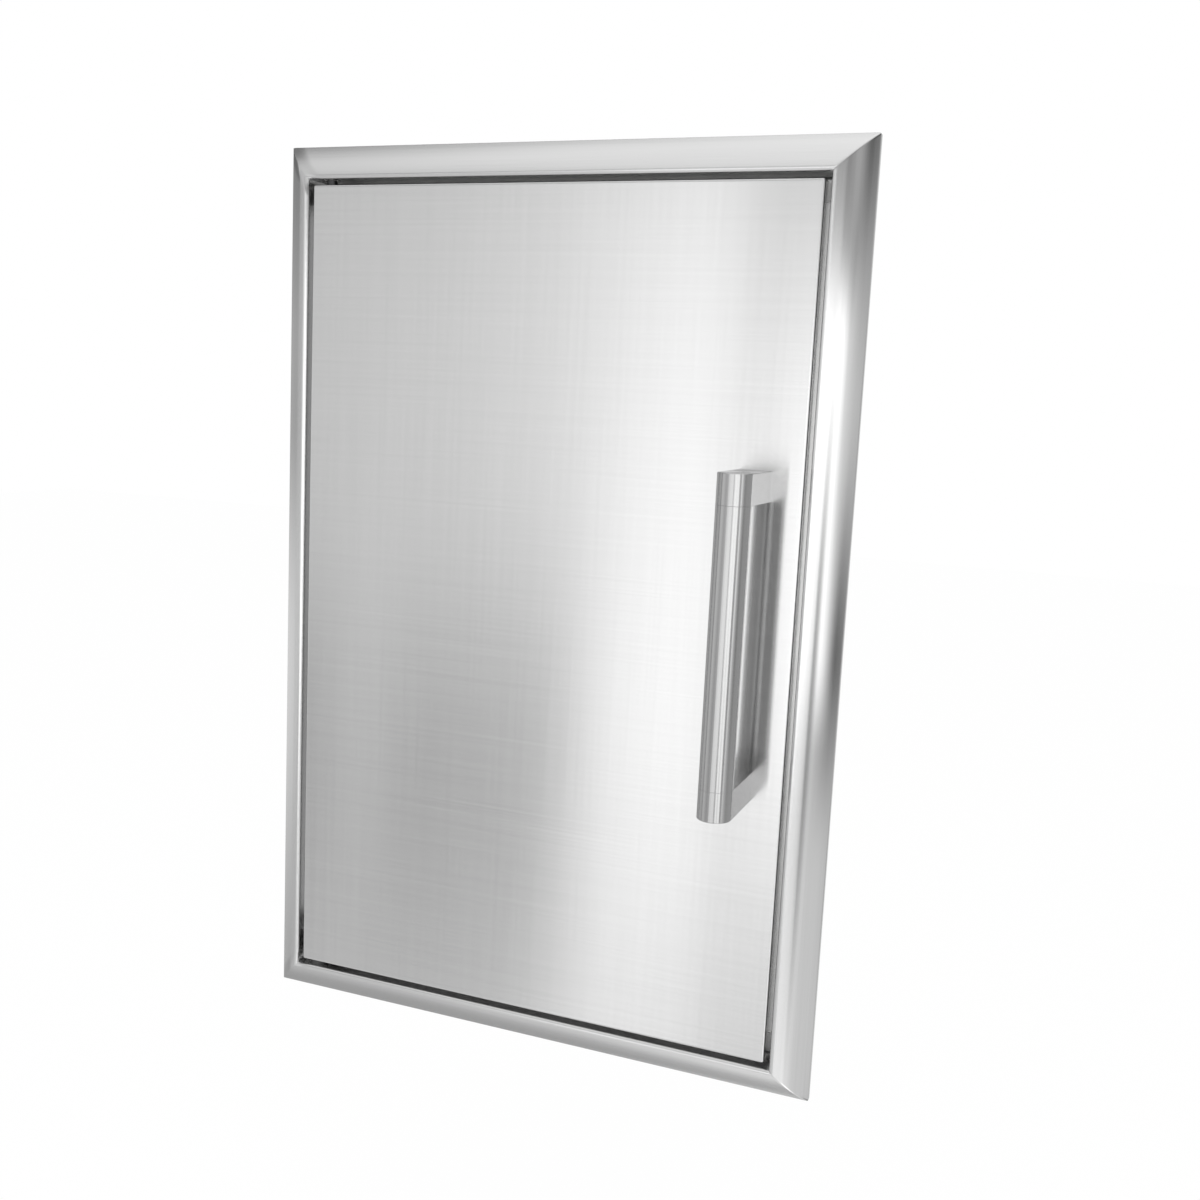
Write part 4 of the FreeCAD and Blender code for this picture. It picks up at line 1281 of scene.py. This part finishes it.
@dataclass
class PinSpring:
    """The coil spring under the pin's collar, that shortens as the pin is pulled down."""

    pivot: Point = PIVOT
    low: float = 0.2392
    high: float = 0.2711
    wire: float = 0.0009
    mean_radius: float = 0.00425
    turns: float = 6.0
    travel: float = 0.009
    steps_per_turn: int = 36
    wire_steps: int = 14
    finish: PlainMetal = PlainMetal("spring_wire", (0.55, 0.55, 0.54), 0.25, 0.0005, 0.10)

    def coil(self) -> Shape:
        """Winds the wire round the pin.

        Returns:
            The wire, in place.
        """
        rise = self.high - self.low - self.wire
        slope = rise / (2 * math.pi * self.turns * self.mean_radius)
        count = round(self.turns * self.steps_per_turn)
        rings = []
        for step in range(count + 1):
            angle = 2 * math.pi * step / self.steps_per_turn
            out = Vector((math.cos(angle), math.sin(angle), 0))
            along = Vector((-math.sin(angle), math.cos(angle), slope)).normalized()
            aside = along.cross(out)
            level = self.low + self.wire / 2 + rise * step / count
            centre = Vector((*self.pivot, level)) + out * self.mean_radius
            spokes = [out * math.cos(a) + aside * math.sin(a) for a in full_circle(self.wire_steps)]
            rings.append([centre + spoke * (self.wire / 2) for spoke in spokes])
        return skinned(rings)

    def build(self) -> None:
        """Makes the spring, on a mesh of its own."""
        thing = as_object(self.coil(), "pin_coil")
        seat(thing, self.finish.material(), "door", "upper_pin_spring")
        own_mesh(thing)


@dataclass
class Fittings:
    """The pieces that keep their CAD shape: stops, liner, pins, catch and the small parts."""

    nodes: Mapping[str, Piece]

    def finishes(self) -> dict[Union[PlainMetal, Moulding], Sequence[str]]:
        """Which pieces take which finish.

        Returns:
            Each finish with its CAD nodes.
        """
        return {
            PlainMetal("rolled_steel", (0.62, 0.62, 0.615), 0.38, 0.0009, 0.10): (
                "door_stop_top", "door_stop_bottom", "door_inner_liner", "handle_backing_plate",
                "upper_pin_bracket", "lower_pin_bracket", "upper_pivot_doubler",
                "lower_pivot_doubler",
            ),
            # The pins are partly their blackened finish and partly painted shade: darker than that
            # finish alone, for the deep gap they stand in.
            PlainMetal("blackened_and_shaded_steel", (0.07, 0.07, 0.072), 0.34, 0.0004, 0.08): (
                "upper_pivot_pin", "lower_pivot_pin",
            ),
            PlainMetal("turned_steel", (0.66, 0.66, 0.655), 0.22, 0.0004, 0.08): (
                "upper_pin_collar", "upper_pin_tab",
            ),
            PlainMetal("bright_zinc", (0.66, 0.67, 0.68), 0.28, 0.0007, 0.12): (
                "catch_screws", "handle_screws", "strike_rivets", "strike_plate", "catch_poles",
            ),
            Moulding("white_nylon", (0.74, 0.73, 0.69), 0.42, 0.0006, 6e-6, 0.05): (
                "upper_pivot_bush", "lower_pivot_bush", "liner_hole_plugs",
            ),
            Moulding("black_washer", (0.050, 0.050, 0.050), 0.45, 0.0006, 6e-6, 0.05): (
                "lower_thrust_washer",
            ),
            Moulding("black_rubber", (0.022, 0.022, 0.023), 0.62, 0.0005, 1.2e-5, 0.12): (
                "door_bumpers",
            ),
            Moulding("catch_moulding", (0.60, 0.60, 0.58), 0.46, 0.0007, 8e-6, 0.05): (
                "catch_housing",
            ),
            Moulding("ferrite", (0.055, 0.053, 0.052), 0.55, 0.0004, 1.0e-5, 0.12): (
                "catch_magnet",
            ),
        }

    def build(self) -> None:
        """Dresses each piece."""
        for finish, names in self.finishes().items():
            material = finish.material()
            for name in names:
                dress(self.nodes[name], material)
                log.info("%s: %s", name, finish.name)


@dataclass(frozen=True)
class WallPatch:
    """A soft-edged patch of light or shade on the studio's walls.

    The door stands in the middle. Directions are in degrees: azimuth from straight in front of
    the door to its right, elevation up from level.
    """

    name: str
    left: float
    right: float
    low: float
    high: float
    soft_across: float
    soft_up: float
    level: float

    def over(self, wall: Signal, azimuth: Signal, elevation: Signal) -> Signal:
        """Lays the patch over the light of the wall.

        Args:
            wall: the light so far.
            azimuth: the direction that is looked in.
            elevation: its height.

        Returns:
            The light with the patch, in a node that bears its name.
        """
        across = wall.bench.within(azimuth, self.left, self.right, self.soft_across)
        up = wall.bench.within(elevation, self.low, self.high, self.soft_up)
        light = wall + (self.level - wall) * (across * up)
        light.socket.node.label = self.name
        return light


@dataclass
class Studio:
    """A plain white room: pale floor, soft light, and the camera where the photographer stood."""

    floor_drop: float = 0.30
    floor_reach: float = 6.0
    floor_shades: tuple[Colour, Colour] = ((0.80, 0.80, 0.80), (0.84, 0.84, 0.84))
    floor_speck: float = 0.02
    floor_roughness: float = 0.6
    floor_white: float = 0.98
    lamp_place: Triple = (0.2, -1.0, 1.9)
    lamp_size: float = 1.4
    lamp_watts: float = 30.0
    camera_place: Triple = (0.35145, -0.81164, 0.14358)
    camera_turn: Triple = (81.3065, -2.7037, 21.4626)
    lens: float = 39.695
    sensor_width: float = 36.0
    clip_start: float = 0.01
    plain_level: float = 0.8
    wall_level: float = 0.74
    ceiling_edge: Span = (38, 67)
    ceiling_gain: float = 0.32
    ground_edge: Span = (59, 79)
    ground_gain: float = 0.61
    patches: tuple[WallPatch, ...] = (
        WallPatch("high light, left", -300, -126, 33, 120, 28, 14, 1.25),
        WallPatch("low shade, left", -300, -77, -120, 0, 15, 3, 0.40),
        WallPatch("level light, left", -300, -48, -18, -5, 13, 12, 0.90),
        WallPatch("dark wall, left", -300, -87, 2, 54, 3, 14, 0.17),
        WallPatch("wide light, left of the front", -52, 2, -10, 12, 20, 5, 1.55),
        WallPatch("low band under it", -67, 3, -16, -13, 25, 4, 0.55),
        WallPatch("front light", -22, 28, -25, 1, 2, 14, 1.80),
        WallPatch("dark rim of the core", -15, 19, -30, 21, 2, 7, 0.06),
        WallPatch("low light, right", 38, 57, -90, 1, 12, 5, 1.75),
        WallPatch("long strip, right", 11, 91, -12.5, 5, 6.5, 2.5, 2.20),
        WallPatch("dark band over the strip", 30, 92, 7, 30, 6.5, 3.5, 0.30),
        WallPatch("dark wall, right", 71, 300, -15, 31, 20, 5, 0.06),
        WallPatch("thin light, left", -32, -31, -22, -3, 2, 3.5, 1.70),
        WallPatch("front core", -15, 10, -23, 9, 2, 14, 1.75),
        WallPatch("low shade, far right", 91, 300, -49, -31, 3, 4, 0.15),
        WallPatch("dusk beside the front", -44, -28, -26, 40, 24, 8, 0.15),
        WallPatch("low shade, right", 47, 60, -26, 0, 2, 11, 0.30),
        WallPatch("dark post, left", -77, -72, -23, 12, 3, 7, 0.20),
        WallPatch("glow, far right", 77, 138, -3, 4, 2.5, 9.5, 1.10),
        WallPatch("bright edge of the core", 13, 15, -27, 11, 2.5, 8.5, 1.25),
        WallPatch("grey wall, far right", 97, 300, -27, 40, 7, 9, 0.50),
        WallPatch("haze over the strip", 61, 77, 6, 26, 9, 4.5, 0.52),
        WallPatch("rear light, right", 148, 300, -60, 60, 10, 12, 0.78),
        WallPatch("rear light, left", -300, -158, -60, 60, 9, 12, 0.78),
    )

    def world(self) -> None:
        """Paints the walls of the room, and leaves them white for the camera."""
        world = bpy.data.worlds.new("studio")
        world.use_nodes = True
        bpy.context.scene.world = world
        bench = NodeBench(world.node_tree)
        x, y, z = bench.split(bench.place("Generated"))
        azimuth = bench.sum("ARCTAN2", x, -y) * math.degrees(1)
        elevation = bench.sum("ARCSINE", z) * math.degrees(1)
        ceiling = bench.ease(elevation, *self.ceiling_edge) * self.ceiling_gain
        ground = bench.ease(-elevation, *self.ground_edge) * self.ground_gain
        level = self.wall_level + ceiling + ground
        for patch in self.patches:
            level = patch.over(level, azimuth, elevation)
        rays = bench.add("ShaderNodeLightPath", {}, {})
        mirrored = bench.out(rays, "Is Glossy Ray")
        lit = self.plain_level + (level - self.plain_level) * mirrored
        straight = bench.out(rays, "Is Camera Ray")
        seen = bench.sum("MAXIMUM", straight, bench.out(rays, "Is Transmission Ray"))
        inputs = {"Color": WHITE, "Strength": lit + (1 - lit) * seen}
        bench.end(bench.take("ShaderNodeBackground", {}, inputs), "ShaderNodeOutputWorld")

    def floor(self, lowest: float) -> None:
        """A pale floor under the door, that keeps its shadow.

        Args:
            lowest: the door's lowest point.
        """
        shape = bmesh.new()
        reach = self.floor_reach
        level = lowest - self.floor_drop
        corners = ((-reach, -reach), (reach, -reach), (reach, reach), (-reach, reach))
        shape.faces.new([shape.verts.new((x, y, level)) for x, y in corners])
        thing = as_object(shape, "floor")
        material, bench = new_material("pale_floor")
        speck = bench.noise(bench.place(), [self.floor_speck] * 3)
        colour = bench.mixed(speck, *self.floor_shades)
        inputs = {"Color": colour, "Roughness": self.floor_roughness}
        matt = bench.take("ShaderNodeBsdfDiffuse", {}, inputs)
        white = bench.take("ShaderNodeEmission", {}, {"Color": WHITE, "Strength": 1.0})
        seen = bench.take("ShaderNodeLightPath", {}, {}, "Is Camera Ray")
        bench.end(bench.layered(seen * self.floor_white, matt, white))
        dress(thing, material)
        thing.visible_glossy = False
        thing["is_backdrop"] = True

    def lamp(self) -> None:
        """A square soft lamp that looks at the door."""
        light = bpy.data.lights.new("soft_top", "AREA")
        light.shape = "SQUARE"
        light.size = self.lamp_size
        light.energy = self.lamp_watts
        lamp = bpy.data.objects.new("soft_top", light)
        lamp.location = self.lamp_place
        lamp.rotation_euler = (-Vector(self.lamp_place)).to_track_quat("-Z", "Y").to_euler()
        lamp.visible_glossy = False
        lamp.visible_camera = False
        bpy.context.scene.collection.objects.link(lamp)

    def camera(self) -> None:
        """The camera at the photograph's viewing angle."""
        lens = bpy.data.cameras.new("photo_camera")
        lens.sensor_fit = "HORIZONTAL"
        lens.sensor_width = self.sensor_width
        lens.lens = self.lens
        lens.clip_start = self.clip_start
        camera = bpy.data.objects.new("photo_camera", lens)
        camera.location = self.camera_place
        camera.rotation_euler = [math.radians(angle) for angle in self.camera_turn]
        bpy.context.scene.collection.objects.link(camera)
        bpy.context.scene.camera = camera

    def build(self, lowest: float) -> None:
        """Sets up the camera, the room and the lamp.

        Args:
            lowest: the door's lowest point.
        """
        self.camera()
        self.world()
        self.floor(lowest)
        self.lamp()
        bpy.context.scene.view_settings.view_transform = "Standard"


def main() -> None:
    """Dresses the access door and its studio."""
    logging.basicConfig(level=logging.INFO, format="%(name)s: %(message)s")
    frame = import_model()
    solid_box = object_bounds()
    Studio().build(solid_box[0][2])
    TrimFrame().build()
    DoorPanel().build()
    BarHandle().build()
    SideStop().build()
    PinSpring().build()
    Fittings(frame["nodes"]).build()


if __name__ == "__main__":
    main()
